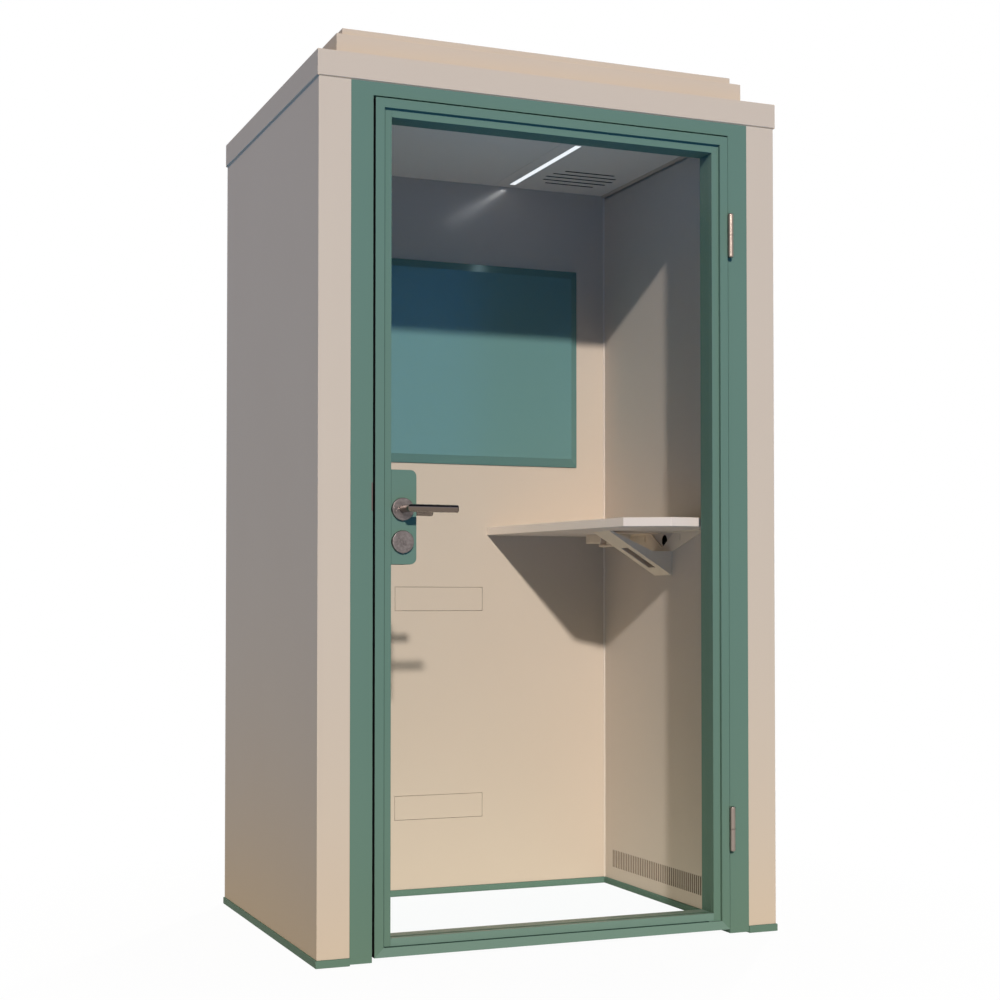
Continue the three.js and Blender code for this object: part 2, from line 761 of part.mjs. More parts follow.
function deskBracket() {
  const plateX = [wallIn - BRACKET_SHEET, wallIn];
  const footZ = deskBottom - BRACKET_PLATE_HEIGHT;
  const strutZ = deskBottom - STRUT_DROP;
  const [foot, top, strut] = [BRACKET_FOOT_WIDTH / 2, BRACKET_TOP_WIDTH / 2, STRUT_WIDTH / 2];
  const plate = prism('x', outline([
    [bracketY - top, deskBottom],
    [bracketY - foot, footZ],
    [bracketY - strut, footZ],
    [bracketY - strut, strutZ],
    [bracketY + strut, strutZ],
    [bracketY + strut, footZ],
    [bracketY + foot, footZ],
    [bracketY + top, deskBottom],
  ]), plateX);
  const notch = prism('x', outline([
    [bracketY - BRACKET_NOTCH_WIDTH / 2, deskBottom - BRACKET_SHEET],
    [bracketY, deskBottom - BRACKET_NOTCH_DEPTH],
    [bracketY + BRACKET_NOTCH_WIDTH / 2, deskBottom - BRACKET_SHEET],
  ]), [plateX[0] - 1, plateX[1] + 1]);
  const slots = [-BRACKET_SLOT_OFFSET, BRACKET_SLOT_OFFSET].map((offset) => block(
    [plateX[0] - 1, plateX[1] + 1],
    around(bracketY + offset, BRACKET_SLOT_WIDTH),
    around(deskBottom - BRACKET_SLOT_HEIGHT, BRACKET_SLOT_HEIGHT),
  ));
  const flange = block(
    [wallIn - BRACKET_FLANGE, wallIn],
    around(bracketY, BRACKET_TOP_WIDTH),
    [deskBottom - BRACKET_SHEET, deskBottom],
  );
  const tipX = wallIn - STRUT_REACH;
  const slope = Math.atan2(STRUT_DROP, STRUT_REACH);
  const strip = prism('y', outline([
    [wallIn, strutZ],
    [wallIn, strutZ + BRACKET_SHEET / Math.cos(slope)],
    [tipX + BRACKET_SHEET / Math.sin(slope), deskBottom],
    [tipX, deskBottom],
  ]), around(bracketY, STRUT_WIDTH));
  const webShape = outline([
    [wallIn, strutZ],
    [wallIn, footZ],
    [wallIn - STRUT_WEB_SHELF, footZ],
    [tipX + BRACKET_FLANGE / 2, deskBottom],
    [tipX, deskBottom],
  ]);
  const webs = [
    prism('y', webShape, [bracketY - strut, bracketY - strut + BRACKET_SHEET]),
    prism('y', webShape, [bracketY + strut - BRACKET_SHEET, bracketY + strut]),
  ];
  const strutSlot = block(
    [tipX + STRUT_SLOT_FROM, tipX + STRUT_SLOT_TO],
    around(bracketY, STRUT_SLOT_WIDTH),
    [strutZ - BRACKET_SHEET, deskBottom - BRACKET_SHEET],
  );
  return join(cut(join(plate, flange), notch, ...slots), cut(strip, strutSlot), ...webs);
}

// Power box under the desk, with a bent strap that carries the cables from the bracket to the box.

const powerBoxX = wallIn - POWER_BOX_FROM_WALL;
const powerBoxY = backIn - POWER_BOX_FROM_BACK;
const powerBoxBottom = deskBottom - POWER_BOX_HEIGHT;

function deskPowerBox() {
  return block(
    around(powerBoxX, POWER_BOX_WIDTH),
    around(powerBoxY, POWER_BOX_DEPTH),
    [powerBoxBottom, deskBottom],
  );
}

function powerBoxStrap() {
  const bottom = powerBoxBottom - STRAP_DROP;
  const left = powerBoxX - POWER_BOX_WIDTH / 2;
  const near = bracketY + STRUT_WIDTH / 2;
  const far = powerBoxY - POWER_BOX_DEPTH / 2 + STRAP_LAP;
  return prism('x', outline([
    [near, bottom],
    [near, bottom + STRAP_SHEET],
    [far - STRAP_SHEET, bottom + STRAP_SHEET],
    [far - STRAP_SHEET, powerBoxBottom],
    [far, powerBoxBottom],
    [far, bottom],
  ]), [left, left + STRAP_BAND]);
}

// Door frame: two jambs and a head, a planted stop behind the leaf with a rubber seal, and a steel strike.

const frameY = [front, frameBack];

function jamb(side) {
  return block([side * opening, side * wallIn], frameY, [JAMB_FLOOR_GAP, WALL_TOP]);
}

const latchHoleZ = around(latchHeight, LATCH_HEIGHT + 2 * BOLT_CLEAR);
const boltHoleZ = around(boltHeight, BOLT_HEIGHT + 2 * BOLT_CLEAR);
const boltHoleY = around(lockY, BOLT_WIDTH + 2 * BOLT_CLEAR);

function strikeOutline(grow) {
  const [plateFront, plateBack] = around(lockY, STRIKE_WIDTH);
  const top = LEVER_HEIGHT + STRIKE_RISE + grow;
  const lip = LEVER_HEIGHT - STRIKE_LIP_DROP - grow;
  const bottom = LEVER_HEIGHT - STRIKE_DROP - grow;
  return outline([
    [front - grow, lip],
    [plateFront - grow, lip],
    [plateFront - grow, bottom],
    [plateBack + grow, bottom],
    [plateBack + grow, top],
    [front - grow, top],
  ]);
}

function strikePockets(depths) {
  return [latchHoleZ, boltHoleZ].map((heights) => block(depths, boltHoleY, heights));
}

function strikePlate() {
  const plate = prism('x', strikeOutline(0), [-opening - STRIKE, -opening]);
  return cut(plate, ...strikePockets([-opening - 2 * STRIKE, -opening + STRIKE]));
}

function lockJamb() {
  const seat = prism('x', strikeOutline(SNUG), [-opening - STRIKE, -opening + STRIKE]);
  const pocketDepth = STRIKE_POCKET + BOLT_CLEAR;
  return cut(jamb(-1), seat, ...strikePockets([-opening - pocketDepth, -opening + STRIKE]));
}

function doorHead() {
  return block([-opening, opening], frameY, [headBottom, WALL_TOP]);
}

// Three-sided band round the doorway, given its inner and outer half width, its two heights and its foot.
function doorwayBand([inX, outX], [inZ, outZ], foot) {
  return outline([
    [-outX, foot],
    [-inX, foot],
    [-inX, inZ],
    [inX, inZ],
    [inX, foot],
    [outX, foot],
    [outX, outZ],
    [-outX, outZ],
  ]);
}

const stopX = opening - STOP_PROJECTION;
const stopZ = headBottom - STOP_PROJECTION;

function doorStop() {
  const shape = doorwayBand([stopX, opening], [stopZ, headBottom], JAMB_FLOOR_GAP);
  return prism('y', shape, [stopFront, frameBack]);
}

function doorSeal() {
  const [inX, inZ] = [stopX + SEAL_SET, stopZ + SEAL_SET];
  const shape = doorwayBand([inX, inX + SEAL_WIDTH], [inZ, inZ + SEAL_WIDTH], LEAF_FLOOR_GAP);
  return prism('y', shape, [leafBack + SNUG, stopFront]);
}

// Door leaf: four mitred frame members, a little proud of the jambs, with a rebate for the pane. Four beads
// hold the pane and stand back from the members' faces.

function leafBand(edge, from, to) {
  const [x0, x1] = [leafX - from, leafX - to];
  const [low0, low1] = [LEAF_FLOOR_GAP + from, LEAF_FLOOR_GAP + to];
  const [high0, high1] = [leafTop - from, leafTop - to];
  const bands = {
    lock: [[-x0, low0], [-x1, low1], [-x1, high1], [-x0, high0]],
    hinge: [[x0, low0], [x1, low1], [x1, high1], [x0, high0]],
    top: [[-x0, high0], [x0, high0], [x1, high1], [-x1, high1]],
    bottom: [[-x0, low0], [x0, low0], [x1, low1], [-x1, low1]],
  };
  return outline(bands[edge]);
}

function leafMember(edge) {
  const face = prism('y', leafBand(edge, 0, MEMBER_FACE), [leafFront, leafBack]);
  const leg = prism('y', leafBand(edge, MEMBER_FACE, MEMBER), [rebateBack, leafBack]);
  return join(face, leg);
}

function lockStile() {
  const forend = block(
    [forendFace - FOREND, caseFront],
    around(lockY, FOREND_WIDTH + 2 * SNUG),
    [caseZ[0] - FOREND_LAP - SNUG, caseZ[1] + FOREND_LAP + SNUG],
  );
  const mortise = block(
    [forendFace, lockBoxLeft + SNUG],
    around(lockY, LOCK_CASE_DEPTH + 2 * SNUG),
    [caseZ[0] - SNUG, caseZ[1] + SNUG],
  );
  return cut(leafMember('lock'), forend, mortise);
}

const beadY = [leafFront + BEAD_SET, leafFront + BEAD_SET + BEAD_DEPTH];
const beadOuterX = leafX - MEMBER_FACE;
const beadInnerX = leafX - MEMBER;

function sideBead(side) {
  const reach = [side * beadOuterX, side * beadInnerX];
  return block(reach, beadY, [LEAF_FLOOR_GAP + MEMBER_FACE, leafTop - MEMBER_FACE]);
}

function crossBead(heights) {
  return block([-beadInnerX, beadInnerX], beadY, heights);
}

function lockBoxOutline(grow) {
  const radius = LOCK_BOX_CORNER + grow;
  return roundedRectangle(
    [lockBoxLeft - grow, lockBoxRight + grow],
    [lockBoxZ[0] - grow, lockBoxZ[1] + grow],
    [0, radius, radius, 0],
  );
}

function doorGlass() {
  const inset = MEMBER_FACE + GLASS_EDGE_CLEAR;
  const reach = leafX - inset;
  const pane = block([-reach, reach], [glassFront, glassBack], [LEAF_FLOOR_GAP + inset, leafTop - inset]);
  const notch = prism('y', lockBoxOutline(SNUG), [glassFront - GLASS, glassBack + GLASS]);
  const notchEdge = block(
    [-reach - GLASS, lockBoxLeft],
    [glassFront - GLASS, glassBack + GLASS],
    [lockBoxZ[0] - SNUG, lockBoxZ[1] + SNUG],
  );
  return cut(pane, notch, notchEdge);
}

// Lock: two rounded covers that meet in the pane's notch, and a mortise case with its forend and two bolts.

function lockCover(face, meet) {
  const inward = Math.sign(meet - face) * LOCK_BOX_WALL;
  const cover = prism('y', lockBoxOutline(0), [Math.min(face, meet), Math.max(face, meet)]);
  const floor = face + inward;
  const past = meet + inward;
  const radius = LOCK_BOX_CORNER - LOCK_BOX_WALL;
  const hollow = prism('y', roundedRectangle(
    [lockBoxLeft - LOCK_BOX_WALL, lockBoxRight - LOCK_BOX_WALL],
    [lockBoxZ[0] + LOCK_BOX_WALL, lockBoxZ[1] - LOCK_BOX_WALL],
    [0, radius, radius, 0],
  ), [Math.min(floor, past), Math.max(floor, past)]);
  const through = [Math.min(face, floor) - 1, Math.max(face, floor) + 1];
  const leverHole = rod('y', LEVER_BAR + 2 * RUNNING_CLEAR, through, [leverX, LEVER_HEIGHT]);
  const turnHole = rod('y', RELEASE_DISC + 2 * RUNNING_CLEAR, through, [leverX, turnHeight]);
  return cut(cover, hollow, leverHole, turnHole);
}

function lockCase() {
  const forend = block(
    [forendFace, caseFront],
    around(lockY, FOREND_WIDTH),
    [caseZ[0] - FOREND_LAP, caseZ[1] + FOREND_LAP],
  );
  const wall = LOCK_CASE_WALL;
  const box = block([caseFront - wall, caseX[1]], caseY, caseZ);
  const hollow = block(
    [caseX[0] + wall, caseX[1] - wall],
    [caseY[0] + wall, caseY[1] - wall],
    [caseZ[0] + wall, caseZ[1] - wall],
  );
  const noses = [latchHoleZ, boltHoleZ].map((heights) => (
    block([forendFace - wall, caseX[0] + 2 * wall], boltHoleY, heights)
  ));
  const through = [caseY[0] - 1, caseY[1] + 1];
  const leverHole = rod('y', FOLLOWER + 2 * RUNNING_CLEAR, through, [leverX, LEVER_HEIGHT]);
  const turnHole = rod('y', RELEASE_DISC, through, [leverX, turnHeight]);
  return cut(join(forend, box), hollow, ...noses, leverHole, turnHole);
}

function lockBolt(height, nose, length) {
  const start = forendFace + BOLT_SET;
  const tailBand = BOLT_WIDTH / 2;
  const head = block([start, start + length], around(lockY, BOLT_WIDTH), around(height, nose));
  const tail = block(
    [start + length - BOLT_SET, leverX - FOLLOWER / 2 - BOLT_CLEAR],
    around(lockY, tailBand),
    around(height, nose / 2),
  );
  return join(head, tail);
}

// Lever set: a round bar with a mitred neck outside and inside, on one square spindle with its follower.

const outerBarY = lockBoxFront - LEVER_STANDOFF;
const innerBarY = lockBoxBack + LEVER_STANDOFF;

function leverHandle(seat, barY) {
  const outward = Math.sign(barY - seat);
  const far = barY + outward * LEVER_BAR;
  const neck = rod('y', LEVER_BAR, [Math.min(seat, far), Math.max(seat, far)], [leverX, LEVER_HEIGHT]);
  const bar = rod('x', LEVER_BAR, [leverX - LEVER_BAR, leverX + LEVER_REACH], [barY, LEVER_HEIGHT]);
  const heights = around(LEVER_HEIGHT, 2 * LEVER_BAR);
  const long = LEVER_REACH + LEVER_STANDOFF;
  const beyondMitre = prism('z', outline([
    [leverX - long, barY + outward * long],
    [leverX + long, barY - outward * long],
    [leverX + long, barY + outward * long],
  ]), heights);
  const behindMitre = prism('z', outline([
    [leverX - long - MITRE_LAP, barY + outward * long],
    [leverX + long - MITRE_LAP, barY - outward * long],
    [leverX - long - MITRE_LAP, barY - outward * long],
  ]), heights);
  return join(cut(neck, beyondMitre), cut(bar, behindMitre));
}

function leverOuter() {
  const seat = lockBoxFront + LOCK_BOX_WALL;
  const handle = leverHandle(seat, outerBarY);
  const spindleEnd = lockBoxBack - LOCK_BOX_WALL + SPINDLE_SOCKET - SNUG;
  const spindle = block(
    around(leverX, SPINDLE),
    [seat - SPINDLE, spindleEnd],
    around(LEVER_HEIGHT, SPINDLE),
  );
  return join(handle, spindle);
}

function leverInner() {
  const seat = lockBoxBack - LOCK_BOX_WALL;
  const socketSize = SPINDLE + 2 * RUNNING_CLEAR;
  const socket = block(
    around(leverX, socketSize),
    [seat - 1, seat + SPINDLE_SOCKET],
    around(LEVER_HEIGHT, socketSize),
  );
  return cut(leverHandle(seat, innerBarY), socket);
}

function lockFollower() {
  const hub = rod('y', FOLLOWER, caseY, [leverX, LEVER_HEIGHT]);
  const socketSize = SPINDLE + 2 * RUNNING_CLEAR;
  const socket = block(
    around(leverX, socketSize),
    [caseY[0] - 1, caseY[1] + 1],
    around(LEVER_HEIGHT, socketSize),
  );
  return cut(hub, socket);
}

function rosette(seat, outward, hole) {
  const radius = ROSETTE / 2;
  const face = ROSETTE_DEPTH;
  const bore = hole / 2 + RUNNING_CLEAR;
  const profile = [
    [bore, 0],
    [radius, 0],
    [radius, face - ROSETTE_EDGE],
    [radius - ROSETTE_EDGE, face],
    [bore, face],
    [bore, 0],
  ];
  const placed = profile.map(([r, h]) => [r, outward * h]);
  const ordered = outward > 0 ? placed : placed.reverse();
  return (height) => turned('y', ordered, [leverX, seat, height], 40);
}

// Privacy turn: a grip inside and a slotted release disc outside, on one spindle.

function thumbTurn() {
  const place = [leverX, turnHeight];
  const discFront = lockBoxFront - ROSETTE_DEPTH;
  const disc = rod('y', RELEASE_DISC, [discFront, lockBoxFront + LOCK_BOX_WALL], place);
  const slot = block(
    around(leverX, RELEASE_SLOT),
    [discFront - 1, discFront + RELEASE_SLOT],
    around(turnHeight, RELEASE_SLOT_LENGTH),
  );
  const stemEnd = lockBoxBack + ROSETTE_DEPTH + BOLT_CLEAR;
  const spindle = block(
    around(leverX, TURN_SPINDLE),
    [lockBoxFront, lockBoxBack],
    around(turnHeight, TURN_SPINDLE),
  );
  const stem = rod('y', RELEASE_DISC, [lockBoxBack - LOCK_BOX_WALL, stemEnd], place);
  const end = TURN_GRIP_WIDTH / 2;
  const grip = prism('y', roundedRectangle(
    around(leverX, TURN_GRIP_WIDTH),
    around(turnHeight, TURN_GRIP_LENGTH),
    [end, end, end, end],
  ), [stemEnd - BOLT_CLEAR, stemEnd + TURN_GRIP_HEIGHT], 6);
  return join(cut(disc, slot), spindle, stem, grip);
}

// Lift-off hinges: the frame half below carries the pin, the door half above turns on it.

const hingeX = opening;
const hingeY = front - HINGE_OUT;
const hingeHeights = {
  hinge_upper: leafTop - HINGE_FROM_END,
  hinge_lower: LEAF_FLOOR_GAP + HINGE_FROM_END,
};

function hingeBarrel([low, high], domeAtTop) {
  const radius = HINGE_BARREL / 2;
  const dome = radius * 0.5;
  const profile = domeAtTop
    ? [[0, low], [radius, low], [radius, high - dome], [radius * 0.7, high - dome * 0.25], [0, high]]
    : [[0, low], [radius * 0.7, low + dome * 0.25], [radius, low + dome], [radius, high], [0, high]];
  return turned('z', profile, [hingeX, hingeY, 0], 24);
}

function frameKnuckle(height) {
  const heights = [height - HINGE_LENGTH / 2, height - HINGE_SPLIT / 2];
  const leaf = block([opening - HINGE_LEAF, opening], [hingeY, front + HINGE_LEAF_DEPTH], heights);
  const pin = rod('z', HINGE_PIN, [height - HINGE_PIN_LENGTH, height + HINGE_PIN_LENGTH], [hingeX, hingeY]);
  return join(hingeBarrel(heights, false), leaf, pin);
}

function doorKnuckle(height) {
  const heights = [height + HINGE_SPLIT / 2, height + HINGE_LENGTH / 2];
  const leaf = block([leafX, leafX + HINGE_LEAF], [hingeY, front + HINGE_LEAF_DEPTH], heights);
  const bore = rod(
    'z',
    HINGE_PIN + 2 * HINGE_BORE_CLEAR,
    [height - HINGE_SPLIT, height + HINGE_PIN_LENGTH + HINGE_SPLIT],
    [hingeX, hingeY],
  );
  return cut(join(hingeBarrel(heights, true), leaf), bore);
}

// Assembly

addPart('base_frame', baseFrame(), finish.frame);

addPart('left_outer_skin', sideOuterSkin(-1), finish.shell);
addPart('left_wall_core', sideCore(-1), finish.infill);
addPart('left_inner_skin', sideInnerSkin(-1), finish.shell);
addPart('right_outer_skin', sideOuterSkin(1), finish.shell);
addPart('right_wall_core', rightCore(), finish.infill);
addPart('right_inner_skin', rightInnerSkin(), finish.shell);
addPart('back_outer_skin', backSheet([back - SKIN, back]), finish.shell);
addPart('back_wall_core', backCore(), finish.infill);
addPart('back_inner_skin', backInnerSkin(), finish.shell);
Object.entries(HATCH_BOTTOMS).forEach(([name, bottom]) => addPart(name, hatch(bottom), finish.shell));

addPart('ceiling_panel', ceilingPanel(), finish.shell);
addPart('ceiling_service_panel', ceilingServicePanel(), finish.shell);
addPart('led_channel', ledChannel(), finish.aluminium);
addPart('led_diffuser', ledDiffuser(), finish.light);
addPart('roof_core', roofCore(), finish.infill);
addPart('roof_cap', roofCap(), finish.shell);
addPart('fan_frame', fanFrame(), finish.plastic);
addPart('fan_rotor', fanRotor(), finish.plastic);
addPart('power_supply', powerSupply(), finish.plastic);
addPart('roof_housing', roofHousing(), finish.shell);
addPart('roof_housing_lid', roofHousingLid(), finish.shell);

addPart('acoustic_board', acousticBoard(), finish.board);
addPart('desk_top', deskTop(), finish.desk);
addPart('desk_bracket', deskBracket(), finish.shell);
addPart('desk_power_box', deskPowerBox(), finish.shell);
addPart('power_box_strap', powerBoxStrap(), finish.shell);

addPart('jamb_left', lockJamb(), finish.frame);
addPart('jamb_right', jamb(1), finish.frame);
addPart('door_head', doorHead(), finish.frame);
addPart('door_stop', doorStop(), finish.frame);
addPart('door_seal', doorSeal(), finish.rubber);
addPart('strike_plate', strikePlate(), finish.steel);

addPart('lock_stile', lockStile(), finish.frame);
addPart('hinge_stile', leafMember('hinge'), finish.frame);
addPart('top_rail', leafMember('top'), finish.frame);
addPart('bottom_rail', leafMember('bottom'), finish.frame);
addPart('bead_lock_side', sideBead(-1), finish.frame);
addPart('bead_hinge_side', sideBead(1), finish.frame);
addPart('bead_top', crossBead([leafTop - MEMBER, leafTop - MEMBER_FACE]), finish.frame);
addPart('bead_bottom', crossBead([LEAF_FLOOR_GAP + MEMBER_FACE, LEAF_FLOOR_GAP + MEMBER]), finish.frame);
addPart('door_glass', doorGlass(), finish.glass);

addPart('lock_box_front', lockCover(lockBoxFront, lockY), finish.frame);
addPart('lock_box_back', lockCover(lockBoxBack, lockY), finish.frame);
addPart('lock_case', lockCase(), finish.steel);
addPart('latch_bolt', lockBolt(latchHeight, LATCH_HEIGHT, LATCH_LENGTH), finish.steel);
addPart('dead_bolt', lockBolt(boltHeight, BOLT_HEIGHT, BOLT_LENGTH), finish.steel);
addPart('lever_outer', leverOuter(), finish.steel);
addPart('lever_inner', leverInner(), finish.steel);
addPart('lock_follower', lockFollower(), finish.steel);
addPart('lever_rosette_outer', rosette(lockBoxFront, -1, LEVER_BAR)(LEVER_HEIGHT), finish.steel);
addPart('lever_rosette_inner', rosette(lockBoxBack, 1, LEVER_BAR)(LEVER_HEIGHT), finish.steel);
addPart('turn_rosette_outer', rosette(lockBoxFront, -1, RELEASE_DISC)(turnHeight), finish.steel);
addPart('turn_rosette_inner', rosette(lockBoxBack, 1, RELEASE_DISC)(turnHeight), finish.steel);
addPart('thumb_turn', thumbTurn(), finish.steel);

Object.entries(hingeHeights).forEach(([name, height]) => {
  addPart(`${name}_frame_knuckle`, frameKnuckle(height), finish.steel);
  addPart(`${name}_door_knuckle`, doorKnuckle(height), finish.steel);
});

// The lever is the foremost point and the roof edge the rearmost, so this centres the booth on its origin.
const foremost = outerBarY - LEVER_BAR / 2;
pod.position.y = -(foremost + capY) / 2;

export default pod;
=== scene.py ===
import json
from math import cos, pi, radians, sin

import bmesh
import bpy
from mathutils import Matrix, Vector

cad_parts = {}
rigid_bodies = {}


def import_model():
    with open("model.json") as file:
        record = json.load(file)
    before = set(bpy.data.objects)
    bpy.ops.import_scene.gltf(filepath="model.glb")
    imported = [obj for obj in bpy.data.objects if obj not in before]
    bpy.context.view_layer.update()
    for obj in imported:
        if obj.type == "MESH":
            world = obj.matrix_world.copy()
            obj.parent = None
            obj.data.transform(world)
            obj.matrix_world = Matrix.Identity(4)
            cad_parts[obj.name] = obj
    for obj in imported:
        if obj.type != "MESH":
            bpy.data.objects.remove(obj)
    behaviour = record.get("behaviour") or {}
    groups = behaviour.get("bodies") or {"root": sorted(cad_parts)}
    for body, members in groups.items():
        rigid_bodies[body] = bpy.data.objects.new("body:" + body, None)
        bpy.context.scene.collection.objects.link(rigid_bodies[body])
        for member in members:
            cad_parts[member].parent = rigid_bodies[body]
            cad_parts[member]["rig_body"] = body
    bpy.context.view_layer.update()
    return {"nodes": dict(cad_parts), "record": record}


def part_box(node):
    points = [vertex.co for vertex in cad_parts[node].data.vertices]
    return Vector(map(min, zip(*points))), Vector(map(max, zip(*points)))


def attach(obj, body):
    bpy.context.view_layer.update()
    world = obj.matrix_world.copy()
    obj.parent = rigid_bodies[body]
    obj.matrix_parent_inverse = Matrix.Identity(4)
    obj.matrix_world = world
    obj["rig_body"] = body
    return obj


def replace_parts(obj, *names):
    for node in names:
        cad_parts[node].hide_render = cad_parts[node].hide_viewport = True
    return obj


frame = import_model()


# Base frame: a low plinth under the three walls, 18 mm high and a little proud of them.
# Welded steel flat bar, sprayed with the same green satin paint as the door frame.

def tone(code):
    """The linear colour of a screen colour written as six hex digits."""
    parts = [int(code[i:i + 2], 16) / 255 for i in (0, 2, 4)]
    return [p / 12.92 if p <= 0.04045 else ((p + 0.055) / 1.055) ** 2.4 for p in parts] + [1.0]


def add_node(tree, kind, inputs, **settings):
    """A shader node with its settings, its plain values and its links in one call."""
    made = tree.nodes.new("ShaderNode" + kind)
    for name, value in settings.items():
        setattr(made, name, value)
    for socket, value in inputs.items():
        if isinstance(value, bpy.types.NodeSocket):
            tree.links.new(value, made.inputs[socket])
        else:
            made.inputs[socket].default_value = value
    return made


def new_group(name, inputs, outputs):
    """An empty shader node group with named sockets, each given as name and kind."""
    tree = bpy.data.node_groups.new(name, "ShaderNodeTree")
    for direction, sockets in (("INPUT", inputs), ("OUTPUT", outputs)):
        for socket, kind in sockets.items():
            tree.interface.new_socket(socket, in_out=direction, socket_type="NodeSocket" + kind)
    return tree, tree.nodes.new("NodeGroupInput").outputs, tree.nodes.new("NodeGroupOutput").inputs


def between(tree, share, first, second):
    """The colour a share of the way from the first to the second, by the colour sockets of a Mix node."""
    return add_node(tree, "Mix", {0: share, 6: first, 7: second}, data_type="RGBA").outputs[2]


def around_value(tree, middle, noise, spread):
    """The middle value, moved up and down by a noise that runs from 0 to 1."""
    swing = add_node(tree, "Math", {0: noise, 1: 0.5}, operation="SUBTRACT").outputs[0]
    scaled = add_node(tree, "Math", {0: swing, 1: spread}, operation="MULTIPLY").outputs[0]
    return add_node(tree, "Math", {0: middle, 1: scaled}, operation="ADD").outputs[0]


stipple, stipple_in, stipple_out = new_group(
    "fine_stipple",
    {"Colour": "Color", "Shade": "Color", "Roughness": "Float", "Grain": "Float"},
    {"Colour": "Color", "Roughness": "Float", "Height": "Float"},
)
stipple_place = add_node(stipple, "TexCoord", {}).outputs["Object"]
drift = add_node(stipple, "TexNoise", {"Vector": stipple_place, "Scale": 2.2, "Detail": 3.0}).outputs[0]
grain = add_node(
    stipple, "TexNoise",
    {"Vector": stipple_place, "Scale": stipple_in["Grain"], "Detail": 2.0, "Roughness": 0.45},
).outputs[0]
drifted = between(stipple, drift, stipple_in["Colour"], stipple_in["Shade"])
stipple.links.new(drifted, stipple_out["Colour"])
stipple.links.new(around_value(stipple, stipple_in["Roughness"], grain, 0.16), stipple_out["Roughness"])
stipple.links.new(grain, stipple_out["Height"])


def new_finish(name, **plain):
    """A material with its Principled shader, whose plain values are set on their own sockets."""
    made = bpy.data.materials.new(name)
    made.use_nodes = True
    shader = made.node_tree.nodes["Principled BSDF"]
    for socket, value in plain.items():
        shader.inputs[socket.replace("_", " ")].default_value = value
    return made, made.node_tree, shader


def stippled(name, colour, shade, roughness, grain, depth, **plain):
    """A sprayed, moulded or pressed finish: a slow drift of tone over a fine stipple."""
    made, tree, shader = new_finish(name, **plain)
    skin = add_node(tree, "Group", {}, node_tree=stipple)
    for socket, value in (("Colour", colour), ("Shade", shade), ("Roughness", roughness), ("Grain", grain)):
        skin.inputs[socket].default_value = value
    relief = add_node(tree, "Bump", {"Height": skin.outputs["Height"], "Strength": 0.35, "Distance": depth})
    tree.links.new(skin.outputs["Colour"], shader.inputs["Base Color"])
    tree.links.new(skin.outputs["Roughness"], shader.inputs["Roughness"])
    tree.links.new(relief.outputs["Normal"], shader.inputs["Normal"])
    return made


def finish_piece(shape, name, finish, body, smooth=35):
    """A bmesh as a finished object with smooth shading, riding on its body."""
    data = bpy.data.meshes.new(name)
    shape.to_mesh(data)
    shape.free()
    data.materials.append(finish)
    data.polygons.foreach_set("use_smooth", [True] * len(data.polygons))
    data.set_sharp_from_angle(angle=radians(smooth))
    piece = bpy.data.objects.new(name, data)
    bpy.context.scene.collection.objects.link(piece)
    even = piece.modifiers.new("even_shading", "WEIGHTED_NORMAL")
    even.keep_sharp = True
    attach(piece, body)
    return piece


def merged_copy(node):
    """A copy of a node's mesh, with its loose triangles joined and its flat faces made whole."""
    shape = bmesh.new()
    shape.from_mesh(frame["nodes"][node].data)
    bmesh.ops.remove_doubles(shape, verts=shape.verts, dist=1e-6)
    bmesh.ops.dissolve_limit(
        shape, angle_limit=radians(0.5), verts=shape.verts, edges=shape.edges, delimit=set(),
    )
    return shape


def softened(node, name, finish, radius, longer=0.0, segments=3):
    """A node's own shape with its edges rounded, where they are sharp and longer than a length."""
    shape = merged_copy(node)
    sharp = [
        e for e in shape.edges
        if e.is_manifold and e.calc_face_angle() > radians(25) and e.calc_length() > longer
    ]
    bmesh.ops.bevel(
        shape, geom=sharp, offset=radius, offset_type="OFFSET", segments=segments, profile=0.5,
        affect="EDGES", clamp_overlap=True, material=-1,
    )
    piece = finish_piece(shape, name, finish, frame["nodes"][node]["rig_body"])
    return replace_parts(piece, node)


def coat(node, finish):
    """Gives a node that shows its own CAD shape its finish."""
    frame["nodes"][node].data.materials.clear()
    frame["nodes"][node].data.materials.append(finish)


frame_paint = stippled(
    "frame_paint", tone("617e71"), tone("658275"), 0.42, 900.0, 0.00012, Specular_IOR_Level=0.01,
)
softened("base_frame", "plinth", frame_paint, 0.0012, longer=0.05)


# Wall sheets: the outer sheets fold round both ends of the side walls, and thin linings close the inside.
# Steel sheet, folded on a press brake and powder coated in a warm off-white with a fine texture.

shell_paint = stippled(
    "shell_paint", tone("c8baa9"), tone("cbbead"), 0.6, 650.0, 0.0002, Specular_IOR_Level=0.04,
)
for side in ("left", "right", "back"):
    softened(f"{side}_outer_skin", f"{side}_outer_sheet", shell_paint, 0.0009, longer=0.05)
lining_paint = stippled(
    "lining_paint", tone("c8b9aa"), tone("cbbdae"), 0.55, 650.0, 0.00005, Specular_IOR_Level=0.04,
)
# The right lining takes a lighter off-white than the other linings: painted light for the low sun that falls
# across that wall.
right_lining_painted_light = stippled(
    "right_lining_painted_light", tone("cfc3b8"), tone("d2c6bb"), 0.55, 650.0, 0.00005, Specular_IOR_Level=0.04,
)
back_lining_paint = stippled(
    "back_lining_paint", tone("c8b9aa"), tone("cbbdae"), 0.2, 650.0, 0.00001, Specular_IOR_Level=0.07,
)
# The slot edges of the right lining are painted a mid brown: painted shade for the dark inside the slots.
slot_half_painted_shade = stippled(
    "slot_half_painted_shade", tone("8d7b6b"), tone("968473"), 0.8, 1100.0, 0.00005, Specular_IOR_Level=0.02,
)


